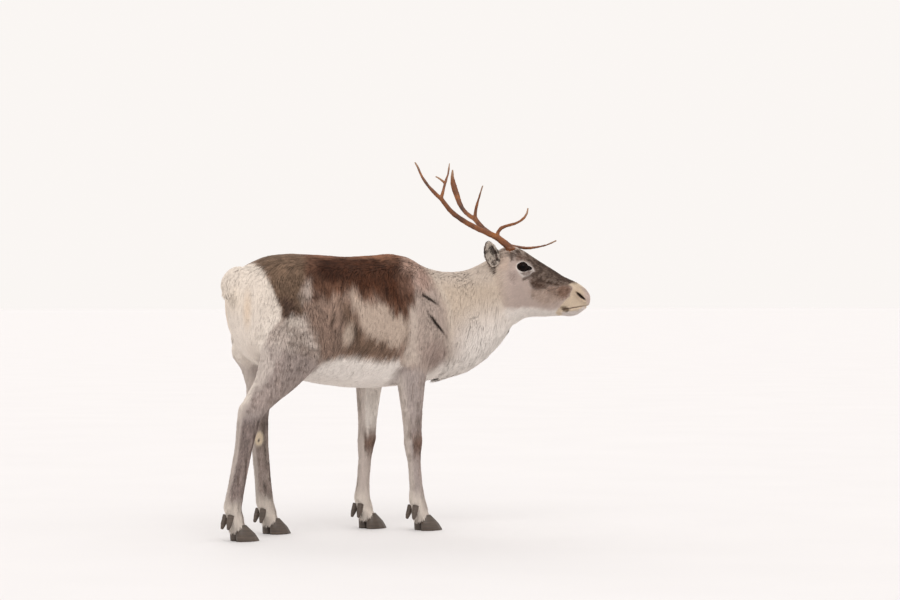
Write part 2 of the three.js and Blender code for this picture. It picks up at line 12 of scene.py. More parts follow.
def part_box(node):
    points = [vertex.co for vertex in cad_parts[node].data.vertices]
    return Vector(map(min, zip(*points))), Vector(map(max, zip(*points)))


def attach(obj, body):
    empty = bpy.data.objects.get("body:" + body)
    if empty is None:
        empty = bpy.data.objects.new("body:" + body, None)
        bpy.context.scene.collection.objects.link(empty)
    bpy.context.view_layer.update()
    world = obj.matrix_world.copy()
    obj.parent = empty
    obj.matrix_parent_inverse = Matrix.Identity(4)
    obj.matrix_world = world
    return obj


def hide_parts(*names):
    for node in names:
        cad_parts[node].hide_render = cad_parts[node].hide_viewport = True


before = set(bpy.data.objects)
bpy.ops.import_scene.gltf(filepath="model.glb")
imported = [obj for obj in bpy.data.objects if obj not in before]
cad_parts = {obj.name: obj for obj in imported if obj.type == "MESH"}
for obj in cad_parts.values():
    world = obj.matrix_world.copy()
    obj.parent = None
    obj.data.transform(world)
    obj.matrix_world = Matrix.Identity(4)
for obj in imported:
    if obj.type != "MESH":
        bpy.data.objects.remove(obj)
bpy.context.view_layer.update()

bl_info = {
    "name": "Standing Reindeer",
    "version": (1, 0, 0),
    "blender": (4, 5, 0),
    "location": "3D View > Sidebar > Reindeer",
    "description": "Dresses the solid body of a reindeer in skin, coat, eyes, antlers and hooves",
    "category": "Object",
}

MM = 0.001
UP = Vector((0, 0, 1))
BAKE_MAP = "OFBake"
COLOUR_LAYER = "coat_colour"

LEGS = ("foreleg_right", "foreleg_left", "hindleg_right", "hindleg_left")
SIDES = ("right", "left")


def middle(node):
    """The middle of a solid's box."""
    low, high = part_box(node)
    return (low + high) / 2


# The trunk is measured forward from the rump's end, and sideways from its own midline.
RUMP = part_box("trunk")[0].x
MIDLINE = middle("trunk").y

# The head is turned to its right, so it has axes of its own, which the two eyes give.
EYE_FORWARD = 90 * MM  # from the poll
HEAD_LEFT = (middle("eye_left") - middle("eye_right")).normalized()
HEAD_FORWARD = HEAD_LEFT.cross(UP).normalized()
POLL = (middle("eye_left") + middle("eye_right")) / 2 - HEAD_FORWARD * EYE_FORWARD
EYE_HEIGHT = middle("eye_left").z
EYE_RADIUS = 21 * MM
EYE_OUT = 55 * MM


def head_point(forward, left, height):
    """A place on the head, from millimetres forward of the poll, to the left and above the floor."""
    point = POLL + HEAD_FORWARD * (forward * MM) + HEAD_LEFT * (left * MM)
    point.z = height * MM
    return point


def eye_middle(sign):
    """The middle of the left (1) or right (-1) eyeball."""
    return head_point(EYE_FORWARD / MM, sign * EYE_OUT / MM, EYE_HEIGHT / MM)


# The kinds of coat, in metres except for gather. Depth is how far the skin lies under the solid's surface.
# Lift is how far the tufts' tips stand off the skin, and gather how much tufts lean together into locks.
COAT_SIZES = ("depth", "length", "width", "spacing", "lock", "gather", "lift")
COATS = {
    "trunk": (0.010, 0.040, 0.0036, 0.0046, 0.012, 0.12, 0.0060),
    "neck": (0.012, 0.046, 0.0038, 0.0047, 0.014, 0.08, 0.0065),
    "thigh": (0.008, 0.024, 0.0035, 0.0045, 0.012, 0.20, 0.0070),
    "shank": (0.004, 0.021, 0.0029, 0.0039, 0.009, 0.22, 0.0050),
    "cannon": (0.002, 0.013, 0.0023, 0.0032, 0.006, 0.20, 0.0035),
    "pastern": (0.003, 0.019, 0.0026, 0.0031, 0.007, 0.30, 0.0050),
    "tail": (0.004, 0.050, 0.0038, 0.0042, 0.014, 0.10, 0.0130),
    "head": (0.0035, 0.010, 0.0020, 0.0028, 0.005, 0.15, 0.0030),
    "ear": (0.001, 0.012, 0.0018, 0.0026, 0.005, 0.20, 0.0045),
}
KINDS = list(COATS)
LONG_KINDS = ("trunk", "neck", "thigh")
LEG_KINDS = ("shank", "cannon", "pastern")
# The coat's pieces, and the kinds of coat in each
COAT_PARTS = {
    "head": ("head",), "ears": ("ear",), "legs": LEG_KINDS, "neck": ("neck",),
    "body": ("trunk", "thigh", "tail"),
}
LEG_COATS = {
    "upper_arm": "trunk", "thigh": "thigh", "forearm": "shank", "gaskin": "shank",
    "cannon": "cannon", "pastern": "pastern",
}
FLESH = {"head": "head", "lower_jaw": "head", "neck": "neck", "trunk": "trunk", "tail": "tail"}
for leg in LEGS:
    for joint, coat in LEG_COATS.items():
        if f"{leg}_{joint}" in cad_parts:
            FLESH[f"{leg}_{joint}"] = coat
# Each ear's run from root to tip: forward, left and up on the head
EARS = {"ear_right": (-20, -66, 98), "ear_left": (-36, 78, 74)}
TUFT_BUDGET = 142000
TUFTS_PER_PIECE = 19000
TUFT_PATCH = 0.003  # a tuft's side on the bake map
MIDDLE_AT = 0.45  # a tuft's middle, as a share of its length
KIND_ROUNDS = 8  # rounds of blending between kinds of coat
JOIN_ROUNDS = 60  # rounds of smoothing where tail and chest join the trunk
SKIN_TONE = 0.95  # the skin's brightness beside the coat's

# The remeshing steps of skin, ears, and antlers and hooves
SKIN_GRAIN = 0.0064
EAR_GRAIN = 0.0024
HORN_GRAIN = 0.0022

VIEW = math.radians(36)  # how far from behind the animal's side it is looked at
CAMERA_BACK = 4.8605
CAMERA_OUT = 7.9235
CAMERA_HEIGHT = 0.792
FLOOR_SIZE = 400


def to_linear(colour):
    """An sRGB hex value as linear red, green and blue."""
    values = [int(colour[i : i + 2], 16) / 255 for i in (1, 3, 5)]
    return [v / 12.92 if v <= 0.04045 else ((v + 0.055) / 1.055) ** 2.4 for v in values]


def share_of(kinds, *names):
    """How much of the named kinds of coat each place has, together."""
    return kinds[:, [KINDS.index(name) for name in names]].sum(axis=1)


def coat_size(kinds, size):
    """One of the coat's sizes at each place, from its share of every kind of coat."""
    column = COAT_SIZES.index(size)
    return kinds @ np.array([COATS[kind][column] for kind in KINDS])


def rise(low, high, values):
    """0 below low, 1 above high, and a smooth step between."""
    t = np.clip((values - low) / (high - low), 0, 1)
    return t * t * (3 - 2 * t)


# Large primes that give every cell of space its own number
CELL_KEYS = np.array([73856093, 19349663, 83492791])
CELL_SHUFFLE = 1274126177


def mottle(points, size, seed):
    """Smooth random values from -1 to 1 over space, with spots of the given size in metres."""
    spots = points / size + seed * 17.31
    cell = np.floor(spots).astype(np.int64)
    part = spots - cell
    part = part * part * (3 - 2 * part)
    total = np.zeros(len(points))
    for corner in range(8):
        step = np.array([corner & 1, corner >> 1 & 1, corner >> 2 & 1])
        weight = np.prod(np.where(step, part, 1 - part), axis=1)
        keys = (cell + step) @ CELL_KEYS
        keys = (keys ^ (keys >> 13)) * CELL_SHUFFLE & 0x7FFFFFFF
        total += weight * ((keys ^ (keys >> 16)) % 65536 / 32768 - 1)
    return total


def spot(across, up, mark, blur=0):
    """How much of a soft oval lies at each place, from its middle, half sizes, tilt in degrees and edge."""
    x, y, half_across, half_up, tilt, edge = mark
    turn = math.radians(tilt)
    dx, dy = across - x, up - y
    u = (dx * math.cos(turn) + dy * math.sin(turn)) / half_across
    v = (-dx * math.sin(turn) + dy * math.cos(turn)) / half_up
    return 1 - rise(1 - edge, 1 + edge, np.hypot(u, v) + blur)


def paint(colours, colour, weight):
    """Lays a colour over the others by a weight from 0 to 1."""
    weight = np.clip(weight, 0, 1)[:, None]
    colours[:] = colours * (1 - weight) + np.array(to_linear(colour)) * weight


def within(across, up, outline, edge):
    """How far inside a closed outline each place lies, from 0 to 1, with an edge of the given softness."""
    gap = np.full(len(across), np.inf)
    inside = np.zeros(len(across), bool)
    for (x0, y0), (x1, y1) in zip(outline, outline[1:] + outline[:1]):
        dx, dy = x1 - x0, y1 - y0
        t = np.clip(((across - x0) * dx + (up - y0) * dy) / (dx * dx + dy * dy), 0, 1)
        gap = np.minimum(gap, np.hypot(across - x0 - t * dx, up - y0 - t * dy))
        if dy:
            inside ^= ((y0 > up) != (y1 > up)) & (across < x0 + (up - y0) * dx / dy)
    return rise(-edge, edge, np.where(inside, gap, -gap))


def on_body(points):
    """Each place as metres forward of the rump's end, out from the midline and above the floor."""
    return points[:, 0] - RUMP, np.abs(points[:, 1] - MIDLINE), points[:, 2]


def round_body(points):
    """How far round the body from the middle of the rump each place lies, seen from a hind corner."""
    along, out, _ = on_body(points)
    return along * math.cos(VIEW) + out * math.sin(VIEW)


def on_head(points):
    """Each place as millimetres forward of the poll, out from the head's middle plane and above the floor."""
    offset = points - np.array(POLL)
    forward = offset @ np.array(HEAD_FORWARD) / MM
    left = offset @ np.array(HEAD_LEFT) / MM
    return forward, left, points[:, 2] / MM


# Marks on trunk and thigh: outline in metres round the body and above the floor, colour, strength, edge
BODY_PATCHES = (
    # brown of croup, back and flank
    (((0.032, 0.995), (0.073, 0.911), (0.102, 0.888), (0.121, 0.858), (0.132, 0.82), (0.15, 0.782),
      (0.169, 0.755), (0.187, 0.734), (0.217, 0.732), (0.241, 0.742), (0.247, 0.782), (0.236, 0.81),
      (0.239, 0.846), (0.258, 0.858), (0.276, 0.831), (0.291, 0.808), (0.313, 0.793), (0.336, 0.804),
      (0.365, 0.81), (0.395, 0.831), (0.417, 0.839), (0.432, 0.789), (0.454, 0.782), (0.473, 0.81),
      (0.495, 0.789), (0.521, 0.759), (0.547, 0.736), (0.573, 0.727), (0.588, 0.743), (0.596, 0.782),
      (0.601, 0.82), (0.599, 0.865), (0.584, 0.903), (0.565, 0.926), (0.55, 0.995)), "#6a4b3b", 1.0, 0.012),
    # greyer croup
    (((0.06, 0.99), (0.073, 0.911), (0.102, 0.888), (0.121, 0.858), (0.143, 0.789), (0.169, 0.755),
      (0.187, 0.734), (0.217, 0.732), (0.241, 0.742), (0.247, 0.782), (0.236, 0.81), (0.239, 0.846),
      (0.247, 0.896), (0.217, 0.99)), "#75604f", 0.9, 0.014),
    # its dark lower corner
    (((0.15, 0.79), (0.2, 0.80), (0.23, 0.77), (0.22, 0.735), (0.18, 0.735)), "#5a463b", 0.85, 0.014),
    # dark saddle
    (((0.276, 0.926), (0.336, 0.938), (0.454, 0.934), (0.558, 0.911), (0.588, 0.858), (0.588, 0.789),
      (0.558, 0.759), (0.513, 0.804), (0.469, 0.827), (0.432, 0.812), (0.395, 0.85), (0.336, 0.842),
      (0.299, 0.858)), "#492a1a", 0.95, 0.014),
    # pale ribs
    (((0.402, 0.82), (0.432, 0.782), (0.462, 0.778), (0.506, 0.774), (0.543, 0.732), (0.58, 0.721),
      (0.588, 0.69), (0.58, 0.652), (0.55, 0.629), (0.506, 0.645), (0.454, 0.656), (0.432, 0.705),
      (0.41, 0.759), (0.395, 0.793)), "#c9b5a5", 0.95, 0.018),
    # dark band behind them
    (((0.358, 0.782), (0.384, 0.774), (0.406, 0.743), (0.424, 0.705), (0.45, 0.667), (0.469, 0.629),
      (0.432, 0.614), (0.402, 0.652), (0.384, 0.69), (0.369, 0.728)), "#6d5646", 0.85, 0.016),
    # dark hem above the belly
    (((0.358, 0.629), (0.395, 0.637), (0.454, 0.652), (0.506, 0.645), (0.543, 0.629), (0.539, 0.599),
      (0.506, 0.584), (0.469, 0.599), (0.41, 0.595), (0.365, 0.606)), "#7a6353", 0.85, 0.014),
    # pale line behind the elbow
    (((0.591, 0.759), (0.613, 0.751), (0.617, 0.584), (0.573, 0.553), (0.558, 0.584), (0.588, 0.645)),
     "#d6c6b9", 0.85, 0.014),
    # thigh
    (((0.085, 0.683), (0.165, 0.721), (0.247, 0.743), (0.269, 0.69), (0.291, 0.599), (0.247, 0.538),
      (0.217, 0.47), (0.06, 0.47), (0.085, 0.584)), "#cabbb1", 0.95, 0.018),
    # its darker front
    (((0.173, 0.736), (0.247, 0.69), (0.254, 0.614), (0.217, 0.584), (0.202, 0.667)), "#83746a", 0.5, 0.014),
    # stifle
    (((0.239, 0.645), (0.276, 0.629), (0.291, 0.584), (0.247, 0.546), (0.217, 0.523), (0.217, 0.584)),
     "#8f7d73", 0.8, 0.014),
)
# Small soft marks: (round the body, up, half sizes, tilt in degrees, edge), colour, strength
BODY_SPOTS = (
    ((0.251, 0.820, 0.019, 0.036, -8, 0.9), "#c9bab0", 0.65),
    ((0.284, 0.798, 0.016, 0.014, 0, 0.6), "#5a4034", 0.8),
    ((0.384, 0.675, 0.018, 0.034, -12, 0.8), "#cdbbab", 0.8),
    ((0.213, 0.717, 0.030, 0.015, -12, 0.7), "#d9ccc0", 0.8),
    ((0.337, 0.715, 0.005, 0.022, -8, 0.6), "#4d3c32", 0.7),
    ((0.352, 0.682, 0.003, 0.018, 22, 0.6), "#40312a", 0.8),
    ((0.196, 0.757, 0.014, 0.034, 20, 0.8), "#4a382f", 0.6),
    ((0.186, 0.722, 0.003, 0.012, 50, 0.5), "#30241f", 0.8),
    ((0.470, 0.958, 0.090, 0.018, 0, 0.8), "#b07a58", 0.75),
    ((0.315, 0.888, 0.050, 0.036, 0, 0.8), "#331b10", 0.8),
    ((0.575, 0.855, 0.026, 0.060, 0, 0.8), "#74584a", 0.7),
    ((0.640, 0.870, 0.040, 0.060, -25, 0.6), "#a88a7d", 0.8),
    ((0.680, 0.595, 0.050, 0.050, 0, 0.6), "#a69188", 0.8),
    ((0.755, 0.775, 0.012, 0.022, 0, 0.6), "#cbb48e", 0.6),
)
# Partings in the coat of the right shoulder and neck, painted dark for the roots that show and as painted
# shade down in the gap: mark, strength
PARTINGS = (
    ((0.6535, 0.7955, 0.0385, 0.0046, -34, 0.5), 1.0),
    ((0.6790, 0.7100, 0.0490, 0.0050, -53, 0.5), 1.0),
    ((0.8115, 0.7315, 0.0180, 0.0026, 28, 0.5), 0.6),
    ((0.775, 0.870, 0.030, 0.0020, 38, 0.5), 0.3),
    ((0.790, 0.850, 0.026, 0.0020, 36, 0.5), 0.3),
)
DARK_FACE = (
    (64, 970), (103, 968), (125, 953), (156, 936), (200, 915), (243, 889), (283, 866), (259, 846), (243, 843),
    (217, 840), (182, 840), (160, 828), (134, 828), (116, 844), (111, 862), (123, 879), (126, 897),
    (112, 920),
    (90, 930), (68, 931), (57, 949),
)
# Marks on the head: outline in millimetres forward of the poll and above the floor, colour, strength, edge
HEAD_PATCHES = (
    # pale temple
    (((3, 966), (40, 966), (42, 901), (7, 892)), "#d2bbab", 0.8, 8),
    (DARK_FACE, "#706056", 1.0, 10),
    # grey behind the eye
    (((46, 888), (64, 884), (70, 862), (60, 850), (44, 871)), "#94817a", 0.55, 10),
    # brown of the lower face, and its darker end at the muzzle
    (((125, 832), (164, 830), (200, 840), (219, 832), (219, 795), (200, 778), (156, 776), (125, 797),
      (112, 819)), "#b09a8c", 0.85, 12),
    (((160, 838), (239, 848), (256, 833), (253, 814), (239, 796), (205, 802), (175, 816)),
     "#8a7060", 0.65, 13),
    # dark bridge of the nose
    (((125, 966), (156, 948), (200, 924), (243, 898), (287, 870), (272, 853), (243, 861), (200, 885),
      (156, 908), (130, 925)), "#4e3e36", 0.9, 5),
    # dark cheek below the eye's front, and the streak before it
    (((114, 858), (134, 864), (160, 854), (167, 837), (149, 827), (125, 833)), "#533a2e", 0.7, 13),
    (((162, 859), (191, 853), (218, 853), (209, 842), (186, 843), (167, 849)), "#46352b", 0.8, 4),
    # brow, and the dark hair round the antler's root
    (((64, 949), (99, 949), (114, 932), (90, 930), (68, 929)), "#8d7569", 0.7, 6),
    (((38, 979), (54, 972), (57, 931), (47, 922), (43, 949)), "#54453c", 0.9, 4),
    # pale ring round the eye, the grey fold in it and the dark line under it, both painted shade in the
    # creases under the lids
    (((66, 905), (69, 920), (88, 928), (108, 921), (124, 905), (130, 891), (116, 877), (92, 868),
      (76, 882)), "#dacfc8", 1.0, 2.5),
    (((82, 885), (97, 888), (112, 892), (124, 892), (113, 880), (96, 875)), "#8a7a72", 0.85, 3),
    (((86, 862), (103, 876), (126, 884), (126, 876), (110, 866), (92, 855)), "#55453c", 0.8, 3.5),
    # brown edge against the muzzle
    (((211, 834), (239, 845), (256, 833), (253, 814), (239, 798), (221, 798), (209, 815)), "#7a5a48", 0.7, 8),
    # white throat
    (((-19, 752), (68, 766), (112, 766), (156, 760), (200, 757), (217, 760), (243, 685), (-19, 667)),
     "#f8efe7", 0.95, 12),
    # cream muzzle, white chin and the dark corner of the mouth, partly painted shade in its recess
    (((244, 846), (283, 872), (340, 850), (340, 754), (270, 711), (217, 719), (200, 745), (217, 771),
      (227, 785), (244, 798), (254, 813), (260, 827), (258, 839)), "#e0ccb4", 1.0, 3),
    (((221, 752), (270, 754), (300, 767), (331, 763), (287, 719), (217, 719)), "#e9ded9", 0.9, 4),
    (((215, 769), (239, 768), (249, 758), (239, 751), (224, 755)), "#66513f", 0.85, 4),
    # dark hair under the ear
    (((-28, 910), (-5, 912), (-3, 888), (-16, 876), (-30, 887)), "#43362f", 0.95, 4),
)
NOSTRIL = (288, 806, 20, 4.5, -41)  # a mark without its edge
# The edges of rump, belly and neck
RUMP_HEIGHTS = (0.40, 0.49, 0.528, 0.586, 0.632, 0.684, 0.723, 0.759, 0.805, 0.849, 0.895, 0.912, 0.93)
RUMP_EDGE = (0.050, 0.070, 0.084, 0.087, 0.104, 0.128, 0.165, 0.165, 0.142, 0.123, 0.094, 0.065, 0.045)
BELLY_ROUND = (0.20, 0.232, 0.306, 0.365, 0.439, 0.506, 0.55, 0.575, 0.60)
BELLY_EDGE = (0.477, 0.538, 0.580, 0.595, 0.590, 0.580, 0.584, 0.53, 0.47)
NECK_HEIGHTS = (0.536, 0.624, 0.765, 0.906, 0.95)
NECK_EDGE = (0.724, 0.720, 0.712, 0.643, 0.600)
# Single marks on the body and legs
THIGH = (0.185, 0.60, 0.10, 0.12, 0, 0.5)
RUMP_BLUSH = (0.055, 0.76, 0.012, 0.05, 0, 0.9)
# painted light in the cleft under the tail, lifting the shade there
PAINTED_LIGHT_UNDER_TAIL = (0.010, 0.790, 0.030, 0.035, 0, 0.8)
HOCK_GLAND = (0.152, 0.325, 0.015, 0.024, 0, 0.35)
GLAND_MIDDLE = (0.151, 0.319, 0.0035, 0.0045, 0, 0.5)
# painted shade in the groove between tendon and bone over the hock
HOCK_GROOVE_SHADE = (0.178, 0.405, 0.0045, 0.022, -12, 0.6)
KNEE_HEIGHT = 0.297


def bent(points, wide, fine):
    """How far noise moves places, so that the marks drawn on them get wavering, streaky edges."""
    stretched = points * np.array([1, 1, 0.35])
    return (wide * mottle(points, 0.065, 11) + fine * mottle(points, 0.02, 12),
            wide * mottle(points, 0.065, 13) + 1.6 * fine * mottle(stretched, 0.011, 14))


def thigh_folds(points):
    """Noise in level bands, for the wavy coat of the thigh."""
    return mottle(points * [0.2, 0.2, 1], 0.010, 16)


def rump_patch(points):
    """How much each place belongs to the white patch round the tail and down the back of the thighs."""
    across, _ = bent(points, 0.005, 0.004)
    height = points[:, 2]
    far_thigh = (points[:, 1] > MIDLINE) * rise(0.46, 0.52, height) * (1 - rise(0.70, 0.78, height))
    edge = np.interp(height, RUMP_HEIGHTS, RUMP_EDGE) + 0.045 * far_thigh
    return (1 - rise(-0.010, 0.010, round_body(points) + across - edge)) * rise(0.40, 0.50, height)


def paint_thigh_and_back(colours, points, above):
    """The thigh's wavy folds in painted shade and painted light, the rusty ridge of the back and the paler
    withers.
    """
    around, height = round_body(points), points[:, 2]
    thigh = spot(around, height, THIGH)
    folds = thigh_folds(points) + 0.4 * mottle(points * [0.4, 0.4, 1], 0.006, 22)
    # painted shade and painted light in alternate bands across the thigh's wavy coat
    paint(colours, "#5f5148", 0.60 * thigh * rise(0.30, 0.60, folds))
    paint(colours, "#d8cbc0", 0.5 * thigh * rise(0.15, 0.5, -folds))
    ridge = rise(0.925, 0.950, height + 0.4 * above)
    ridge = ridge * rise(0.22, 0.28, around) * (1 - rise(0.54, 0.58, around))
    paint(colours, "#8d6048", 0.75 * ridge)
    withers = rise(0.545, 0.575, around) * rise(0.86, 0.91, height) * (1 - rise(0.62, 0.66, around))
    paint(colours, "#ac8e7f", 0.8 * withers)


def paint_neck(colours, points, across):
    """The neck, paler towards nape and throat, its seam with the shoulder and the white chest, whose
    underside also carries painted light over its shade.
    """
    along, _, height = on_body(points)
    around = round_body(points)
    front = np.interp(height, NECK_HEIGHTS, NECK_EDGE)
    neck = rise(-0.02, 0.03, around + across - front)
    paint(colours, "#cbb9a7", neck)
    paint(colours, "#cfc0b3", 0.8 * neck * rise(0.82, 0.88, height))
    paint(colours, "#dbcdc3", 0.9 * neck * (1 - rise(0.62, 0.78, height)))
    seam = neck * (1 - rise(0.004, 0.012, np.abs(around - front - 0.012))) * rise(0.62, 0.70, height)
    paint(colours, "#ded0c0", 0.6 * seam * (1 - rise(0.84, 0.90, height)))
    # white of the chest's underside, also painted light over the shade under the chest
    paint(colours, "#f4ebe3", rise(0.76, 0.80, along) * (1 - rise(0.54, 0.60, height)))
    paint(colours, "#f4ebe3", rise(0.80, 0.90, along) * (1 - rise(0.58, 0.78, height - 0.35 * (along - 0.8))))


def paint_belly_and_rump(colours, points, above):
    """The white belly and rump, with a warm blush beside the tail, painted shade on the rump's upper part and
    painted light in the cleft under the tail.
    """
    _, out, height = on_body(points)
    around = round_body(points)
    belly = np.interp(around, BELLY_ROUND, BELLY_EDGE)
    paint(colours, "#fbf2ea", 1 - rise(-0.014, 0.014, height - belly + 0.6 * above))
    paint(colours, "#f6ece3", (1 - rise(0.06, 0.10, out)) * (1 - rise(0.56, 0.62, height)))
    rump = rump_patch(points)
    # the rump's white, with painted shade on its upper part and painted light below, set against the light
    # that falls brighter from above
    paint(colours, "#f5e9dd", rump)
    paint(colours, "#e8dbce", rump * rise(0.66, 0.80, height))
    paint(colours, "#f0d3b4", 0.5 * rump * spot(around, height, RUMP_BLUSH))
    # painted light in the cleft where the tail meets the rump, lifting its shade
    paint(colours, "#fff0df", 0.9 * rump * spot(around, height, PAINTED_LIGHT_UNDER_TAIL))


def body_colours(points):
    """The coat's colours on trunk, neck, tail and upper legs."""
    around, height = round_body(points), points[:, 2]
    across, above = bent(points, 0.006, 0.008)
    colours = np.tile(to_linear("#947c6e"), (len(points), 1))
    paint(colours, "#b9a79c", rise(0.585, 0.615, around + across))
    for outline, colour, strength, edge in BODY_PATCHES:
        paint(colours, colour, strength * within(around + across, height + above, outline, edge))
    for mark, colour, strength in BODY_SPOTS:
        paint(colours, colour, strength * spot(around + across, height + above, mark))
    paint_thigh_and_back(colours, points, above)
    paint_neck(colours, points, across)
    paint_belly_and_rump(colours, points, above)
    near_side = points[:, 1] < MIDLINE
    # painted shade, with the dark roots, along the partings
    for mark, strength in PARTINGS:
        paint(colours, "#2c211b", strength * spot(around, height, mark) * near_side)
    return colours


def leg_colours(points, normals):
    """The coat's colours below elbow and thigh: pale behind and inside, darker down the front."""
    along, _, height = on_body(points)
    streaks = mottle(points * np.array([1, 1, 0.22]), 0.010, 15)
    # level bands of painted shade, for creases in the legs' coat
    crease_shade = mottle(points * np.array([0.35, 0.35, 1]), 0.007, 21)
    colours = np.tile(to_linear("#b8aaa4"), (len(points), 1))
    fore = rise(0.30, 0.34, along)
    hind = 1 - fore
    ahead = rise(-0.1, 0.7, normals[:, 0] + 0.35 * streaks)
    upper = hind * rise(0.40, 0.46, height)
    behind = rise(0.60 - 0.18 * fore - 0.28 * upper, 0.95 - 0.1 * upper, -normals[:, 0] + 0.15 * streaks)
    inner = rise(0.2, 0.8, -normals[:, 1] * np.sign(points[:, 1] - MIDLINE))
    paint(colours, "#a09089", 0.7 * ahead)
    paint(colours, "#d6c8be", 0.8 * inner * fore)
    # painted light on the upper inside of the forelegs, lifting the shade under the belly
    paint(colours, "#f8efe6", 0.95 * inner * fore * rise(0.31, 0.37, height))
    paint(colours, "#dccfc5", 0.85 * behind)
    # the hind leg above the hock, with painted shade in its creases, and the darker cannon under it
    gaskin = hind * rise(0.40, 0.45, height) * (1 - behind) * (1 - inner)
    paint(colours, "#ad9d96", 0.9 * gaskin)
    paint(colours, "#63554d", 0.5 * gaskin * rise(0.1, 0.5, crease_shade))
    cannon = hind * (1 - rise(0.37, 0.42, height)) * (1 - 0.8 * behind)
    paint(colours, "#8f7f79", 0.9 * cannon)
    paint(colours, "#a6978d", 0.5 * cannon * inner)
    paint(colours, "#55473f", 0.65 * cannon * rise(-0.1, 0.5, streaks + 0.35 * normals[:, 0] + 0.2 * crease_shade))
    paint(colours, "#efe3d7", hind * rump_patch(points))
    # the brown front of the foreleg's knee, and streaks down its outside
    knee = fore * np.exp(-(((height - KNEE_HEIGHT) / 0.050) ** 2))
    knee *= rise(-0.85, -0.15, normals[:, 0] + 0.45 * streaks)
    paint(colours, "#71574a", 0.92 * knee)
    paint(colours, "#8a7b72", 0.35 * fore * (1 - inner) * rise(0.15, 0.55, streaks + 0.3 * crease_shade))
    # the cream gland inside the hind leg, with its dark middle, and painted shade in the groove over the hock
    gland = spot(along, height, HOCK_GLAND) * inner * hind
    paint(colours, "#f2dfc4", gland)
    paint(colours, "#6b5848", spot(along, height, GLAND_MIDDLE) * gland)
    paint(colours, "#4d4038", 0.75 * spot(along, height, HOCK_GROOVE_SHADE) * (1 - inner) * hind)
    # the pale pastern
    paint(colours, "#e6dace", 0.85 * (1 - rise(0.10, 0.15, height + 0.012 * streaks)) * (1 - 0.7 * ahead))
    return colours


def face_colours(points):
    """The coat's colours on the head."""
    forward, left, height = on_head(points)
    coarse, fine = mottle(points, 0.016, 3), mottle(points, 0.006, 4)
    colours = np.tile(to_linear("#c9b6ac"), (len(points), 1))
    paint(colours, "#cdbbaa", 1 - rise(-20, 60, forward))
    for outline, colour, strength, edge in HEAD_PATCHES:
        moved = min(1, edge / 6) * (4.5 * coarse + 3.0 * fine)
        paint(colours, colour, strength * within(forward + moved, height - moved, outline, edge))
    # light and dark hair on the crown and over the dark face
    crown = rise(938, 956, height) * (1 - rise(70, 110, forward))
    paint(colours, "#5f4f45", 0.75 * crown * rise(0.0, 0.4, coarse + 0.8 * fine))
    paint(colours, "#d8c6b8", 0.7 * crown * rise(0.1, 0.5, -coarse - 0.8 * fine))
    speckle = within(forward, height, DARK_FACE, 8)
    paint(colours, "#43342c", 0.6 * speckle * rise(0.0, 0.5, fine + 0.5 * coarse))
    paint(colours, "#8f7d71", 0.5 * speckle * rise(0.1, 0.6, -fine - 0.5 * coarse))
    # the dark bridge as seen from above, then the muzzle with its pink tip, painted shade round and in the
    # nostril, and dark lips with painted shade in their groove
    bridge = (1 - rise(16, 34, np.abs(left))) * rise(110, 150, forward)
    bridge *= 1 - rise(266, 292, forward + 4 * coarse + 3 * fine)
    paint(colours, "#4e3e36", 0.85 * bridge * rise(840, 860, height))
    # brown round the nostril, deepened as painted shade about its hollow
    paint(colours, "#ab917c", 0.55 * spot(forward, height, (283, 806, 26, 13, -41, 0.7)))
    tip = rise(294, 314, forward + 0.25 * (height - 795) + 4 * coarse) * rise(766, 780, height)
    paint(colours, "#ddc7c1", 0.75 * tip)
    # the nostril's slit, painted dark as the shade in its hollow
    paint(colours, "#2c1c18", spot(forward, height, (*NOSTRIL, 0.3)) * rise(10, 18, np.abs(left)))
    # the lips' dark edge, with painted shade in the groove between them
    lips = np.abs(height - mouth_line(forward)) < 1.6
    paint(colours, "#6a5048", (0.65 - 0.4 * rise(290, 312, forward)) * lips * rise(224, 232, forward))
    # a dark fleck on the cheek, and the bare black edge of the lids
    paint(colours, "#8f7d71", 0.6 * spot(forward, height, (123, 806, 6, 10, 0, 0.7)))
    paint(colours, "#1a110e", 1 - rise(1.02, 1.15, eye_opening(forward, height)))
    return colours


def ear_colours(points, inward):
    """The coat's colours on the ears: dark mottled rims and backs, paler and spotted inside."""
    coarse, fine = mottle(points, 0.014, 5), mottle(points, 0.005, 17)
    inside = rise(0.45, 0.8, inward)
    colours = np.tile(to_linear("#85736a"), (len(points), 1))
    paint(colours, "#463a34", rise(-0.1, 0.5, coarse + 0.5 * fine))
    paint(colours, "#dacdbf", 0.9 * inside)
    paint(colours, "#40342e", 0.80 * inside * rise(0.10, 0.50, coarse + 0.5 * fine))
    paint(colours, "#40352f", 0.9 * rise(0.1, 0.35, inward) * (1 - inside))
    return colours


def mouth_line(forward):
    """The height of the lips' meeting line, in millimetres."""
    return 757 + (forward - 210) * math.tan(math.radians(9))


def almond_axes(forward, height):
    """Places round the eye as shares of the opening's half length and half height; it slants down forward."""
    ahead = forward - EYE_FORWARD / MM
    above = height - EYE_HEIGHT / MM + 0.12 * ahead
    return ahead / np.where(ahead < 0, 19.5, 20), above / 15


def eye_opening(forward, height):
    """1 on the lids' edge, less on the eye and in the tear corner, more outside, in head millimetres."""
    ahead = forward - EYE_FORWARD / MM - 13
    corner = np.hypot(ahead / 16, (height - EYE_HEIGHT / MM + 2.5 + 0.15 * ahead) / 9)
    return np.minimum(np.hypot(*almond_axes(forward, height)), corner)


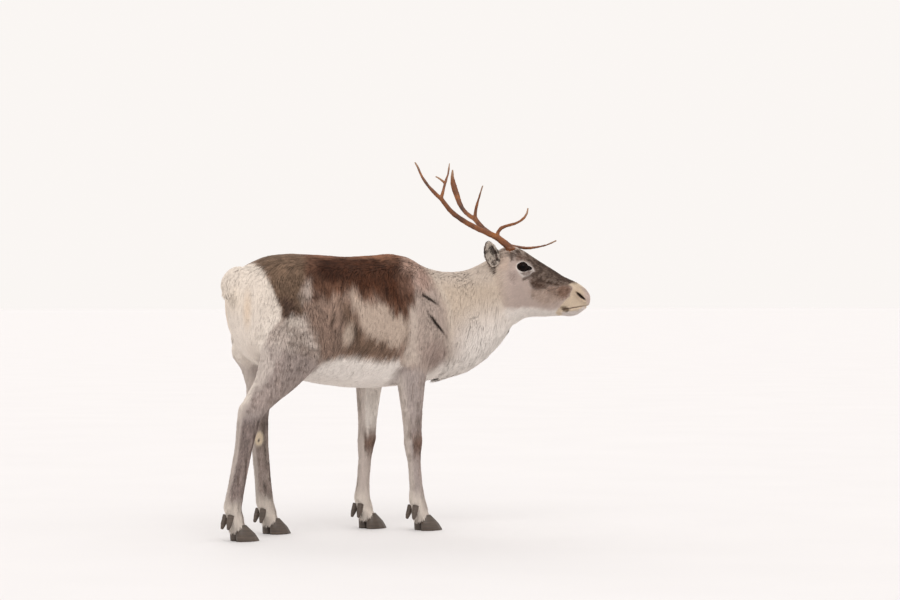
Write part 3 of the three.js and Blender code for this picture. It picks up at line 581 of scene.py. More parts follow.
def marking(points, normals, kinds):
    """The colours of skin and coat, from each place's share of every kind of coat."""
    legs, head, ear = (share_of(kinds, *names)[:, None] for names in (LEG_KINDS, ("head",), ("ear",)))
    colours = body_colours(points) * (1 - legs - head - ear)
    colours += leg_colours(points, normals) * legs
    colours += face_colours(points) * head
    colours += ear_colours(points, ear_inside(points, kinds, normals)) * ear
    return np.clip(colours, 0, 1)


def choose(*objects):
    """Selects only the given objects, the first of them active."""
    if bpy.context.object and bpy.context.object.mode != "OBJECT":
        bpy.ops.object.mode_set(mode="OBJECT")
    bpy.ops.object.select_all(action="DESELECT")
    for item in objects:
        item.select_set(True)
    bpy.context.view_layer.objects.active = objects[0]


def add_object(name, mesh):
    """A new object of a mesh, linked to the scene."""
    item = bpy.data.objects.new(name, mesh)
    bpy.context.scene.collection.objects.link(item)
    return item


def merged_copy(name, nodes):
    """One object holding copies of solids, with their loose triangles merged."""
    copies = [add_object(name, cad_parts[node].data.copy()) for node in nodes]
    choose(*copies)
    if len(copies) > 1:
        bpy.ops.object.join()
    bpy.ops.object.mode_set(mode="EDIT")
    bpy.ops.mesh.select_all(action="SELECT")
    bpy.ops.mesh.remove_doubles(threshold=0.01 * MM)
    bpy.ops.object.mode_set(mode="OBJECT")
    copies[0].data.materials.clear()
    copies[0].name = name
    return copies[0]


def modify(item, kind, **settings):
    """Adds a modifier with its settings and applies it."""
    choose(item)
    modifier = item.modifiers.new(kind.title(), kind)
    for key, value in settings.items():
        setattr(modifier, key, value)
    bpy.ops.object.modifier_apply(modifier=modifier.name)


def places(mesh):
    """The mesh's points, as rows."""
    values = np.empty(len(mesh.vertices) * 3, np.float32)
    mesh.vertices.foreach_get("co", values)
    return values.reshape(-1, 3).astype(float)


def put(mesh, points):
    """Moves the mesh's points."""
    mesh.vertices.foreach_set("co", points.astype(np.float32).ravel())
    mesh.update()


def normals_of(mesh):
    """The mesh's directions outward at its points."""
    values = np.empty(len(mesh.vertices) * 3, np.float32)
    mesh.vertex_normals.foreach_get("vector", values)
    return values.reshape(-1, 3).astype(float)


def unit(vectors):
    """Vectors made one long."""
    return vectors / np.maximum(np.linalg.norm(vectors, axis=1, keepdims=True), 1e-9)


def solids_tree(nodes):
    """A search tree over solids, with each triangle's node."""
    points, faces, owners = [], [], []
    for node in nodes:
        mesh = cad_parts[node].data
        start = len(points)
        points += [vertex.co.copy() for vertex in mesh.vertices]
        faces += [[start + i for i in face.vertices] for face in mesh.polygons]
        owners += [node] * len(mesh.polygons)
    return BVHTree.FromPolygons(points, faces), owners


def edges_of(mesh):
    """The mesh's edges, as rows of two points' numbers."""
    edges = np.empty(len(mesh.edges) * 2, np.int32)
    mesh.edges.foreach_get("vertices", edges)
    return edges.reshape(-1, 2)


def spread(values, edges, rounds):
    """Averages values over a mesh's edges, so that one kind runs softly into the next."""
    count = len(values)
    degree = np.bincount(edges.ravel(), minlength=count)[:, None] + 1.0
    for _ in range(rounds):
        total = values.copy()
        for column in range(values.shape[1]):
            for a, b in ((0, 1), (1, 0)):
                source = values[edges[:, b], column]
                total[:, column] += np.bincount(edges[:, a], weights=source, minlength=count)
        values = total / degree
    return values


def kinds_of(item, points):
    """Each point's shares of the kinds of coat, from the nearest solid."""
    tree, owners = solids_tree([*FLESH, *EARS])
    kinds = np.zeros((len(points), len(KINDS)))
    kind_of = {**FLESH, **{ear: "ear" for ear in EARS}}
    columns = [KINDS.index(kind_of[node]) for node in owners]
    for row, point in enumerate(points):
        kinds[row, columns[tree.find_nearest(point)[2]]] = 1
    return spread(kinds, edges_of(item.data), KIND_ROUNDS)


def select_faces(item, wanted):
    """Selects, in edit mode, the faces whose middles pass a test on rows of places."""
    mesh = item.data
    centres = np.empty(len(mesh.polygons) * 3, np.float32)
    mesh.polygons.foreach_get("center", centres)
    chosen = wanted(centres.reshape(-1, 3).astype(float))
    choose(item)
    bpy.ops.object.mode_set(mode="EDIT")
    bpy.ops.mesh.select_all(action="DESELECT")
    bpy.ops.object.mode_set(mode="OBJECT")
    mesh.vertices.foreach_set("select", np.zeros(len(mesh.vertices), bool))
    mesh.edges.foreach_set("select", np.zeros(len(mesh.edges), bool))
    mesh.polygons.foreach_set("select", chosen)
    bpy.ops.object.mode_set(mode="EDIT")


def refine(item, wanted):
    """Splits the chosen faces in four and evens them out."""
    select_faces(item, wanted)
    bpy.ops.mesh.subdivide(number_cuts=1, smoothness=0)
    bpy.ops.mesh.vertices_smooth(factor=0.4, repeat=2)
    bpy.ops.object.mode_set(mode="OBJECT")


def on_face(points):
    """Which places lie on the face, cheeks and jaw."""
    forward, left, height = on_head(points)
    return (forward > -20) & (height > 700) & (np.abs(left) < 110)


def round_eyes_or_muzzle(points):
    """Which places lie near an eye or on the muzzle."""
    forward, left, height = on_head(points)
    eye = np.hypot(forward - 95, height - 903) < 36
    return (eye & (np.abs(left) > 40)) | (forward > 208)


def round_nose(points):
    """Which places lie on the nose's end, clear of nostrils and lips."""
    forward, _, height = on_head(points)
    lips = np.abs(height - mouth_line(forward)) < 5
    nostril = spot(forward, height, (*NOSTRIL, 0.2), -0.5) > 0.1
    return (forward > 296) & ~lips & ~nostril


def round_lids(points):
    """Which places lie on the lids and in the eye's opening."""
    forward, left, height = on_head(points)
    return (eye_opening(forward, height) < 1.9) & (np.abs(left) > 40)


# Forms raised or sunk on the head's skin, seen from its side: mark, millimetres outward.
HEAD_FORMS = (
    ((92, 937, 30, 9, -6, 0.8), 2.5),  # brow
    ((42, 962, 30, 20, 0, 0.9), 5.0),  # crown under the antler
    ((66, 850, 50, 34, -20, 0.9), 2.5),  # jaw muscle
    ((154, 880, 42, 7, -24, 0.8), 1.8),  # bone beside the nose
    ((144, 860, 40, 7, -24, 0.8), -1.6),  # hollow under it
    ((118, 901, 12, 4.5, -12, 0.7), -3.0),  # tear pit
    ((106, 872, 24, 3.5, 24, 0.8), -1.6),  # fold under the lids
    ((279, 815, 30, 20, -38, 0.7), 1.2),  # wing of the nostril
    ((256, 748, 36, 10, 6, 0.8), 1.5),  # lower lip
)


def shape_lids(points, normals, seen, sign):
    """The points with the lids laid over one eyeball, their opening sunk and its tear corner cut in."""
    forward, left, height = seen
    centre = np.array(eye_middle(sign))
    offset = points - centre
    reach = np.linalg.norm(offset, axis=1)
    out = left * sign
    near = (forward > 20) & (height > 700) & (out > 38) & (out < 100) & (reach < 45 * MM)
    main = np.hypot(*almond_axes(forward, height))
    lid = EYE_RADIUS + (1.4 + 1.4 * rise(1.0, 1.35, main)) * MM
    cover = near & (main >= 1) & (main < 2.3)
    target = np.where(cover, np.maximum(reach, lid), reach)
    target = np.where(near & (main < 1), EYE_RADIUS - 3.5 * MM, target)
    points = np.where(near[:, None], centre + offset * (target / reach)[:, None], points)
    corner = near & (eye_opening(forward, height) < 1) & (main >= 1)
    return np.where(corner[:, None], points - normals * 2.0 * MM, points)


def shape_head(item):
    """Moves the head's skin: brow, cheek, tear pits, nostrils, lips and lids."""
    mesh = item.data
    points, normals = places(mesh), normals_of(mesh)
    seen = forward, left, height = on_head(points)
    out = np.abs(left)
    face = (forward > 20) & (height > 700) & (out < 100)
    side = rise(12, 30, out) * face
    push = np.zeros(len(points))
    for mark, amount in HEAD_FORMS:
        push += amount * side * spot(forward, height, mark)
    push -= 9 * spot(forward, height, (*NOSTRIL, 0.5)) * rise(10, 18, out) * face
    gap = height - mouth_line(forward)
    lips = rise(214, 228, forward) * face
    groove = 4.5 - 2.5 * rise(296, 312, forward)
    push += lips * (1.2 * np.exp(-((np.abs(gap) - 6) / 4) ** 2) - groove * np.exp(-((gap / 2.2) ** 2)))
    points += normals * (push * MM)[:, None]
    for sign in (-1, 1):
        points = shape_lids(points, normals, seen, sign)
    put(mesh, points)


def smooth_joins(mesh, points, kinds):
    """The skin's points, smoothed where the tail and the chest's underside join the trunk."""
    tail = share_of(kinds, "tail")
    along, _, up = on_body(points)
    chest = rise(0.73, 0.78, along) * (1 - rise(0.86, 0.92, along)) * (1 - rise(0.55, 0.60, up))
    join = np.clip(8 * tail * (1 - tail) + chest, 0, 1)[:, None]
    return points + join * (spread(points, edges_of(mesh), JOIN_ROUNDS) - points)


def make_skin(name):
    """One closed skin over all the flesh, lying under the solids' surface by the coat's depth."""
    item = merged_copy(name, [*FLESH, "eye_right", "eye_left"])
    modify(item, "REMESH", mode="VOXEL", voxel_size=SKIN_GRAIN, use_smooth_shade=True)
    modify(item, "SMOOTH", factor=0.5, iterations=7)
    ears = merged_copy("ears", list(EARS))
    modify(ears, "REMESH", mode="VOXEL", voxel_size=EAR_GRAIN, use_smooth_shade=True)
    modify(ears, "SMOOTH", factor=0.5, iterations=3)
    choose(item, ears)
    bpy.ops.object.join()
    mesh = item.data
    points = places(mesh)
    kinds = kinds_of(item, points)
    forward, _, _ = on_head(points)
    depth = coat_size(kinds, "depth") - share_of(kinds, "head") * rise(215, 270, forward) * 2.4 * MM
    points -= normals_of(mesh) * depth[:, None]
    put(mesh, smooth_joins(mesh, points, kinds))
    modify(item, "SMOOTH", factor=0.5, iterations=2)
    mesh = item.data
    choose(item)
    bpy.ops.object.mode_set(mode="EDIT")
    bpy.ops.mesh.select_all(action="SELECT")
    bpy.ops.uv.smart_project(angle_limit=math.radians(70), island_margin=0.002)
    bpy.ops.object.mode_set(mode="OBJECT")
    mesh.uv_layers[0].name = BAKE_MAP
    refine(item, on_face)
    refine(item, round_eyes_or_muzzle)
    refine(item, round_lids)
    shape_head(item)
    select_faces(item, round_nose)
    bpy.ops.mesh.vertices_smooth(factor=0.5, repeat=10)
    bpy.ops.object.mode_set(mode="OBJECT")
    modify(item, "TRIANGULATE")
    return item


def corner_values(mesh, values):
    """Values of the points at every triangle's three corners."""
    corners = np.empty(len(mesh.loops), np.int32)
    mesh.loops.foreach_get("vertex_index", corners)
    return values[corners].reshape(len(mesh.polygons), 3, -1)


def hairy(points, kinds):
    """Where hair grows: not on the eyes and their lids' edges, in nostrils, between lips or on soles."""
    forward, left, height = on_head(points)
    eye = (eye_opening(forward, height) < 1.22) & (np.abs(left) > 38)
    nostril = spot(forward, height, (*NOSTRIL, 0.2)) > 0.3
    mouth = (np.abs(height - mouth_line(forward)) < 2) & (forward > 220)
    sole = (share_of(kinds, "pastern") > 0.5) & (points[:, 2] < 0.03)
    return ~(((share_of(kinds, "head") > 0.5) & (eye | nostril | mouth)) | sole)


def lie_of_coat(points, normals, kinds):
    """The way the hair points, along the skin."""
    share = {kind: kinds[:, i : i + 1] for i, kind in enumerate(KINDS)}
    _, left, height = on_head(points)
    along, _, up = on_body(points)
    level = rise(0.86, 0.94, up)[:, None]
    throat = (rise(0.70, 0.80, along) * (1 - rise(0.62, 0.80, up)))[:, None]
    body = np.array([-0.30, 0, -0.95]) * (1 - level) + np.array([-0.95, 0, -0.3]) * level
    body = body * (1 - 0.5 * throat) + np.array([-0.2, 0, -1.0]) * 0.5 * throat
    droop = rise(-60, 40, 900 - height)[:, None] * 0.55
    face = -np.array(HEAD_FORWARD) * (1 - droop * 0.5) + np.array([0, 0, -1.0]) * droop
    ears = [unit(np.array([head_axes(*run)]))[0] for run in EARS.values()]
    to_tip = np.where(left[:, None] < 0, ears[0], ears[1])
    lie = body * (share["trunk"] + share["neck"] + share["thigh"])
    lie = lie + np.array([-0.12, 0, -1.0]) * (share["shank"] + share["cannon"] + share["pastern"])
    lie = lie + np.array([-0.40, 0, -0.92]) * share["tail"] + face * share["head"] + to_tip * share["ear"]
    lie = lie - normals * np.sum(lie * normals, axis=1, keepdims=True)
    return unit(lie)


def head_axes(forward, left, up):
    """A direction given on the head's own axes."""
    return np.array(HEAD_FORWARD) * forward + np.array(HEAD_LEFT) * left + np.array((0, 0, 1.0)) * up


def turned(vectors, normals, angles):
    """Vectors turned in the skin's plane."""
    side = np.cross(normals, vectors)
    return vectors * np.cos(angles)[:, None] + side * np.sin(angles)[:, None]


def parted(points):
    """How near each place lies to a parting, where tufts are short."""
    around, height = round_body(points), points[:, 2]
    near = np.zeros(len(points))
    for (x, y, half_across, _, tilt, _), _ in PARTINGS:
        near = np.maximum(near, spot(around, height, (x, y, half_across + 0.012, 0.024, tilt, 0.4)))
    return near * (points[:, 1] < MIDLINE)


def tuft_sizes(points, kinds):
    """The tufts' sizes at each place: every size of a coat but its depth."""
    pick = {size: coat_size(kinds, size) for size in COAT_SIZES[1:]}
    forward, left, height = on_head(points)
    along, _, up = on_body(points)
    head, neck, trunk, thigh = (share_of(kinds, kind) for kind in ("head", "neck", "trunk", "thigh"))
    muzzle = head * rise(215, 265, forward)
    eye = head * (1 - rise(1.3, 2.6, eye_opening(forward, height)))
    cheek = head * (1 - rise(20, 90, forward))
    throat = neck * (1 - rise(0.0, 0.10, up - 0.60 - 0.45 * (along - 0.75))) * rise(0.66, 0.80, along)
    antler_root = 1 - rise(20, 42, np.hypot(forward - 45, (np.abs(left) - 42) * 1.2))
    crown = head * antler_root * rise(940, 952, height)
    low_belly = trunk * (1 - rise(0.54, 0.60, up))
    chest = neck * (1 - rise(0.66, 0.78, along)) * (1 - rise(0.53, 0.58, up))
    near_parting = parted(points)
    pick["lift"] *= (1 + 3.5 * crown) * (1 + 1.5 * throat) * (1 - 0.2 * low_belly) * (1 - 0.6 * chest)
    pick["lift"] *= (1 + 0.7 * thigh * thigh_folds(points)) * (1 - 0.3 * rump_patch(points))
    pick["gather"] += 0.10 * throat
    pick["length"] *= (1 - 0.62 * near_parting) * (1 + 1.1 * crown - 0.25 * low_belly)
    pick["length"] *= (1 - 0.45 * muzzle) * (1 - 0.5 * eye) * (1 + 0.9 * cheek) * (1 + 0.6 * throat)
    pick["width"] *= (1 - 0.25 * muzzle) * (1 - 0.2 * eye) * (1 + 0.5 * cheek)
    pick["spacing"] *= (1 - 0.2 * near_parting) * (1 - 0.1 * muzzle) * (1 - 0.2 * eye) * (1 + 0.4 * cheek)
    return pick


def scatter(item, kinds, random):
    """Roots over the skin: places, directions outward, kinds, places on the bake map, all drawn by area."""
    mesh = item.data
    points = places(mesh)
    normals = normals_of(mesh)
    corners = corner_values(mesh, points)
    area = np.linalg.norm(np.cross(corners[:, 1] - corners[:, 0], corners[:, 2] - corners[:, 0]), axis=1) / 2
    centres = corners.mean(axis=1)
    face_kinds = corner_values(mesh, kinds).mean(axis=1)
    density = area / tuft_sizes(centres, face_kinds)["spacing"] ** 2 * hairy(centres, face_kinds)
    running = np.cumsum(density)
    count = int(min(TUFT_BUDGET, running[-1]))
    ticks = (np.arange(count) + random.random(count)) / count * running[-1]
    faces = np.minimum(np.searchsorted(running, ticks), len(area) - 1)
    u, v = random.random((2, count))
    flip = u + v > 1
    u, v = np.where(flip, 1 - u, u), np.where(flip, 1 - v, v)
    shares = np.stack([1 - u - v, u, v], axis=1)[:, :, None]
    map_places = np.empty(len(mesh.loops) * 2, np.float32)
    mesh.uv_layers[BAKE_MAP].data.foreach_get("uv", map_places)
    map_places = map_places.reshape(-1, 3, 2)
    blend = lambda values: (values[faces] * shares).sum(axis=1)
    roots = blend(corners)
    outward = unit(blend(corner_values(mesh, normals)))
    root_kinds = blend(corner_values(mesh, kinds))
    keep = hairy(roots, root_kinds)
    return roots[keep], outward[keep], root_kinds[keep], blend(map_places)[keep]


def follow(tree, points, normals, steps):
    """Steps along the skin from each point: the nearest places on it, and the directions outward there."""
    found = np.empty_like(points)
    outward = np.empty_like(points)
    for row, (point, step) in enumerate(zip(points, steps)):
        place, normal, _, _ = tree.find_nearest(point + step)
        found[row] = place
        outward[row] = normal
    return found, unit(outward * 0.5 + normals * 0.5)


def nearest_locks(points, sizes, random):
    """For each tuft, the tuft that its lock gathers round."""
    chance = np.clip((sizes["spacing"] / sizes["lock"]) ** 2 * 1.2, 0.02, 1)
    middles = np.flatnonzero(random.random(len(points)) < chance)
    tree = KDTree(len(middles))
    for i, row in enumerate(middles):
        tree.insert(points[row], int(row))
    tree.balance()
    return np.array([tree.find(point)[1] for point in points])


# A tuft is two rings of three points and a tip. A ring is given by sideways and outward shares of its width.
RING = ((0.0, 0.62), (0.5, -0.38), (-0.5, -0.38))
SIDE_CORNERS = [corner for k in range(3) for corner in (k, (k + 1) % 3, 3 + (k + 1) % 3, 3 + k)]
TIP_CORNERS = [corner for k in range(3) for corner in (3 + k, 3 + (k + 1) % 3, 6)]
TUFT_CORNERS = np.array(SIDE_CORNERS + TIP_CORNERS + [0, 2, 1])
TUFT_FACES = np.array([4] * 3 + [3] * 3 + [3])
POINTS_PER_TUFT = 7


def tuft_map():
    """Where a tuft's corners lie in its own patch, its sides unrolled beside each other."""
    rows = []
    for k in range(3):
        rows += [(k / 3, 0.1), ((k + 1) / 3, 0.1), ((k + 1) / 3, 0.55), (k / 3, 0.55)]
    for k in range(3):
        rows += [(k / 3, 0.55), ((k + 1) / 3, 0.55), ((k + 0.5) / 3, 1)]
    rows += [(0, 0), (0.5, 0.08), (1, 0)]
    return np.array(rows)


def patch_corners(map_places):
    """A patch of the bake map for each tuft, on a grid so that no two overlap."""
    across = int(1 / (TUFT_PATCH * 1.04))
    cells = np.clip((map_places * across).astype(int), 0, across - 1)
    taken = set()
    reach = range(-9, 10)
    around = sorted(((x, y) for x in reach for y in reach), key=lambda step: step[0] ** 2 + step[1] ** 2)
    placed = np.empty((len(cells), 2))
    for row, (x, y) in enumerate(cells.tolist()):
        for dx, dy in around:
            cell = (x + dx, y + dy)
            if cell not in taken and 0 <= cell[0] < across and 0 <= cell[1] < across:
                break
        taken.add(cell)
        placed[row] = cell
    return placed / across


def tuft_mesh(name, points, colours, ways, map_places):
    """One mesh of many tufts, from each one's seven points, their colours and soft directions outward."""
    count = len(points)
    mesh = bpy.data.meshes.new(name)
    corners = (np.arange(count)[:, None] * POINTS_PER_TUFT + TUFT_CORNERS).ravel()
    totals = np.tile(TUFT_FACES, count)
    mesh.vertices.add(count * POINTS_PER_TUFT)
    mesh.vertices.foreach_set("co", points.astype(np.float32).ravel())
    mesh.loops.add(len(corners))
    mesh.loops.foreach_set("vertex_index", corners.astype(np.int32))
    mesh.polygons.add(len(totals))
    mesh.polygons.foreach_set("loop_start", np.concatenate([[0], np.cumsum(totals)[:-1]]).astype(np.int32))
    mesh.update(calc_edges=True)
    mesh.polygons.foreach_set("use_smooth", np.ones(len(totals), bool))
    layer = mesh.uv_layers.new(name=BAKE_MAP)
    patches = patch_corners(map_places)[:, None] + tuft_map()[None] * TUFT_PATCH
    layer.data.foreach_set("uv", patches.astype(np.float32).ravel())
    tint_points(mesh, colours.reshape(-1, 3))
    mesh.normals_split_custom_set_from_vertices(ways.reshape(-1, 3).astype(np.float32))
    return add_object(name, mesh)


def laid_along(skin, roots, normals, lie, length):
    """Where every tuft's middle and tip come down on the skin, and the directions outward there."""
    mesh = skin.data
    corners = [tuple(face.vertices) for face in mesh.polygons]
    tree = BVHTree.FromPolygons([vertex.co.copy() for vertex in mesh.vertices], corners)
    mid, mid_ways = follow(tree, roots, normals, lie * (length * MIDDLE_AT)[:, None])
    onward = unit(lie - mid_ways * np.sum(lie * mid_ways, axis=1, keepdims=True))
    tips, tip_ways = follow(tree, mid, mid_ways, onward * (length * (1 - MIDDLE_AT))[:, None])
    return mid, mid_ways, tips, tip_ways


def tuft_tints(stations, kinds, random):
    """The colours of every tuft's seven points: the marks at root, middle and tip, streaked."""
    root_tint, mid_tint, tip_tint = [marking(points, ways, kinds) for points, ways in stations]
    roots = stations[0][0]
    head = share_of(kinds, "head")
    paleness = mid_tint.mean(axis=1)
    dark = 1 - rise(0.20, 0.50, paleness)
    shade = 1 + (0.030 + 0.14 * dark) * random.normal(0, 1, len(roots))
    upright = roots * np.array([1, 1, 0.22])
    streak = mottle(upright, 0.007, 8) * 0.40 + mottle(upright, 0.016, 18) * 0.30
    streak *= 1 - head - 0.7 * share_of(kinds, "thigh")
    grain = (mottle(roots, 0.005, 19) * 0.30 + mottle(roots, 0.010, 20) * 0.22) * head
    shade += (streak + grain) * (0.07 + 0.13 * head + 0.90 * dark)
    shade = np.clip(shade, 0.4, 1.6)[:, None]
    root_tone = (0.74 + 0.22 * rise(0.15, 0.45, paleness))[:, None]
    return np.concatenate([
        np.repeat((root_tint * shade * root_tone)[:, None], 3, axis=1),
        np.repeat((mid_tint * shade * 0.97)[:, None], 3, axis=1),
        (tip_tint * shade * 1.05)[:, None],
    ], axis=1)


def coat_pieces(kinds, *tufts):
    """The tufts as pieces of under 200,000 triangles, each on one part of the body."""
    part_of = {kind: part for part, members in COAT_PARTS.items() for kind in members}
    main = np.array([part_of[kind] for kind in KINDS])[np.argmax(kinds, axis=1)]
    pieces = []
    for part in COAT_PARTS:
        rows = np.flatnonzero(main == part)
        lots = max(1, math.ceil(len(rows) / TUFTS_PER_PIECE))
        for lot in range(lots):
            name = f"coat_{part}" + (f"_{lot + 1}" if lots > 1 else "")
            pieces.append(tuft_mesh(name, *(values[rows[lot::lots]] for values in tufts)))
    return pieces


def make_coat(skin, kinds):
    """All the tufts of the coat, as pieces."""
    random = np.random.default_rng(7)
    roots, normals, kinds, map_places = scatter(skin, kinds, random)
    sizes = tuft_sizes(roots, kinds)
    wavy = share_of(kinds, *LONG_KINDS) * (1 - rump_patch(roots))
    waves = mottle(roots, 0.07, 6) * (0.20 * wavy + 0.08) + mottle(roots, 0.022, 7) * (0.12 * wavy + 0.08)
    lie = lie_of_coat(roots, normals, kinds)
    lie = turned(lie, normals, waves + random.normal(0, 0.08, len(roots)))
    length = sizes["length"] * random.uniform(0.75, 1.2, len(roots))
    mid, mid_ways, tips, tip_ways = laid_along(skin, roots, normals, lie, length)
    lift = sizes["lift"] * random.uniform(0.75, 1.15, len(roots))
    mid += mid_ways * (lift * 0.72)[:, None]
    tips += tip_ways * lift[:, None]
    # hair on the tail and over the hooves hangs free of the skin
    tail = share_of(kinds, "tail")
    hang = share_of(kinds, "pastern") * (1 - rise(0.070, 0.095, roots[:, 2]))
    hang = (hang + tail * (1 - rise(-0.3, 0.3, normals[:, 2])))[:, None]
    down = (np.array([0, 0, -1.0]) + normals * [0.35, 0.35, 0]) * (length * (1 - 0.45 * tail))[:, None]
    mid += hang * (roots + down * MIDDLE_AT - mid)
    tips += hang * (roots + down - tips)
    # tips lean towards the tip of their lock's middle tuft
    lock = nearest_locks(roots, sizes, random)
    near = np.linalg.norm(roots - roots[lock], axis=1) < sizes["lock"] * 1.5
    alike = rise(0.3, 0.8, np.sum(normals * normals[lock], axis=1))
    gather = (sizes["gather"] * near * alike)[:, None]
    tips = tips * (1 - gather) + tips[lock] * gather
    mid = mid * (1 - 0.35 * gather) + mid[lock] * 0.35 * gather
    # two rings, at the root just under the skin and at the middle
    run = unit(mid - roots)
    side = unit(np.cross(run, normals))
    above = np.cross(side, run)
    width = sizes["width"] * random.uniform(0.8, 1.2, len(roots))
    points, around = [], []
    for centre, part in ((roots - normals * MM, 1.0), (mid, 0.85)):
        for across, up in RING:
            step = side * (width * part * across)[:, None] + above * (width * part * up * 0.7)[:, None]
            points.append(centre + step)
            around.append(unit(step))
    points = np.stack([*points, tips], axis=1)
    around = np.stack([*around, tip_ways], axis=1)
    tints = tuft_tints(((roots, normals), (mid, mid_ways), (tips, tip_ways)), kinds, random)
    # shading directions mostly follow the skin, so that tufts blend into a soft coat
    facing = mid_ways * (1 - hang) + unit(normals * [1, 1, 0] + [-0.2, 0, 0.1]) * hang
    ways = around * 0.18 + facing[:, None] * 0.92
    ways = ways / np.linalg.norm(ways, axis=2, keepdims=True)
    return coat_pieces(kinds, points, tints, ways, map_places)


def ear_inside(points, kinds, normals):
    """How much each place faces the inside of an ear's cup."""
    _, left, _ = on_head(points)
    faces_forward = normals @ np.array(head_axes(0.9, 0, -0.1))
    outward = (normals @ np.array(HEAD_LEFT)) * np.sign(left)
    return rise(0.0, 0.5, faces_forward + 0.35 * outward) * kinds[:, KINDS.index("ear")]


def add_node(tree, kind, settings=None, links=None):
    """A shader node with its settings, and links from (node, output) to its named inputs."""
    node = tree.nodes.new(kind)
    for key, value in (settings or {}).items():
        if key in node.inputs:
            node.inputs[key].default_value = value
        else:
            setattr(node, key, value)
    for key, (source, output) in (links or {}).items():
        tree.links.new(source.outputs[output], node.inputs[key])
    return node


RELIEF_DEPTH = 0.0008  # of hair and horn


def new_material(name):
    """An empty material: its node tree and its output node."""
    material = bpy.data.materials.new(name)
    material.use_nodes = True
    tree = material.node_tree
    tree.nodes.clear()
    return material, tree, tree.nodes.new("ShaderNodeOutputMaterial")


def hair_material(name, bump, roughness, fleck):
    """Reindeer hair: hollow, dry keratin, matt with a faint sheen at glancing angles."""
    material, tree, output = new_material(name)
    tint = add_node(tree, "ShaderNodeAttribute", {"attribute_name": COLOUR_LAYER})
    spots = add_node(tree, "ShaderNodeTexCoord")
    grain = add_node(tree, "ShaderNodeTexNoise", {"Scale": fleck, "Detail": 3.0, "Roughness": 0.6},
                     {"Vector": (spots, "Object")})
    value = add_node(tree, "ShaderNodeMapRange", {"To Min": 0.82, "To Max": 1.18}, {"Value": (grain, "Fac")})
    mixed = add_node(tree, "ShaderNodeVectorMath", {"operation": "SCALE"},
                     {"Vector": (tint, "Color"), "Scale": (value, "Result")})
    relief = add_node(tree, "ShaderNodeBump", {"Strength": bump, "Distance": RELIEF_DEPTH},
                      {"Height": (grain, "Fac")})
    shader = add_node(
        tree, "ShaderNodeBsdfPrincipled",
        {"Roughness": roughness, "IOR": 1.5, "Specular IOR Level": 0.15, "Sheen Weight": 0.04,
         "Sheen Roughness": 0.5},
        {"Base Color": (mixed, "Vector"), "Normal": (relief, "Normal")},
    )
    tree.links.new(shader.outputs["BSDF"], output.inputs["Surface"])
    return material


def antler_material(name, finish):
    """Antler: hard bare bone stained brown by weather, with fine lengthwise grain and worn pale tips."""
    material, tree, output = new_material(name)
    spots = add_node(tree, "ShaderNodeTexCoord")
    patches = add_node(tree, "ShaderNodeTexNoise", {"Scale": 22.0, "Detail": 4.0, "Roughness": 0.6},
                       {"Vector": (spots, "Object")})
    colours = add_node(tree, "ShaderNodeValToRGB", {}, {"Fac": (patches, "Fac")})
    ramp = colours.color_ramp
    stains = (0.30, finish.antler_dark), (0.52, finish.antler_brown), (0.74, finish.antler_light)
    for position, colour in stains:
        ramp.elements.new(position).color = (*colour, 1)
    ramp.elements.remove(ramp.elements[0])
    ramp.elements.remove(ramp.elements[-1])
    tip = add_node(tree, "ShaderNodeAttribute", {"attribute_name": "tip"})
    mixed = add_node(tree, "ShaderNodeMix", {"data_type": "RGBA"}, {"Factor": (tip, "Fac")})
    # this node's two colours are its sockets 6 and 7
    tree.links.new(colours.outputs["Color"], mixed.inputs[6])
    mixed.inputs[7].default_value = (*finish.antler_tip, 1)
    grain = add_node(tree, "ShaderNodeTexNoise", {"Scale": 260.0, "Detail": 3.0, "Roughness": 0.55},
                     {"Vector": (spots, "Object")})
    relief = add_node(tree, "ShaderNodeBump", {"Strength": 0.4, "Distance": 0.0009},
                      {"Height": (grain, "Fac")})
    shader = add_node(tree, "ShaderNodeBsdfPrincipled", {"Roughness": 0.42, "IOR": 1.54},
                      {"Normal": (relief, "Normal")})
    tree.links.new(mixed.outputs[2], shader.inputs["Base Color"])
    tree.links.new(shader.outputs["BSDF"], output.inputs["Surface"])
    return material


def hoof_material(name, finish):
    """Hoof: dark horn, ringed across by growth and dulled by wear."""
    material, tree, output = new_material(name)
    spots = add_node(tree, "ShaderNodeTexCoord")
    stretch = add_node(tree, "ShaderNodeMapping", {"Scale": (20, 20, 240)}, {"Vector": (spots, "Object")})
    rings = add_node(tree, "ShaderNodeTexNoise", {"Scale": 1.0, "Detail": 3.0},
                     {"Vector": (stretch, "Vector")})
    colours = add_node(tree, "ShaderNodeValToRGB", {}, {"Fac": (rings, "Fac")})
    for element, colour in zip(colours.color_ramp.elements, (finish.hoof_dark, finish.hoof_light)):
        element.color = (*colour, 1)
    relief = add_node(tree, "ShaderNodeBump", {"Strength": 0.35, "Distance": RELIEF_DEPTH},
                      {"Height": (rings, "Fac")})
    shader = add_node(tree, "ShaderNodeBsdfPrincipled", {"Roughness": 0.5, "IOR": 1.54},
                      {"Base Color": (colours, "Color"), "Normal": (relief, "Normal")})
    tree.links.new(shader.outputs["BSDF"], output.inputs["Surface"])
    return material


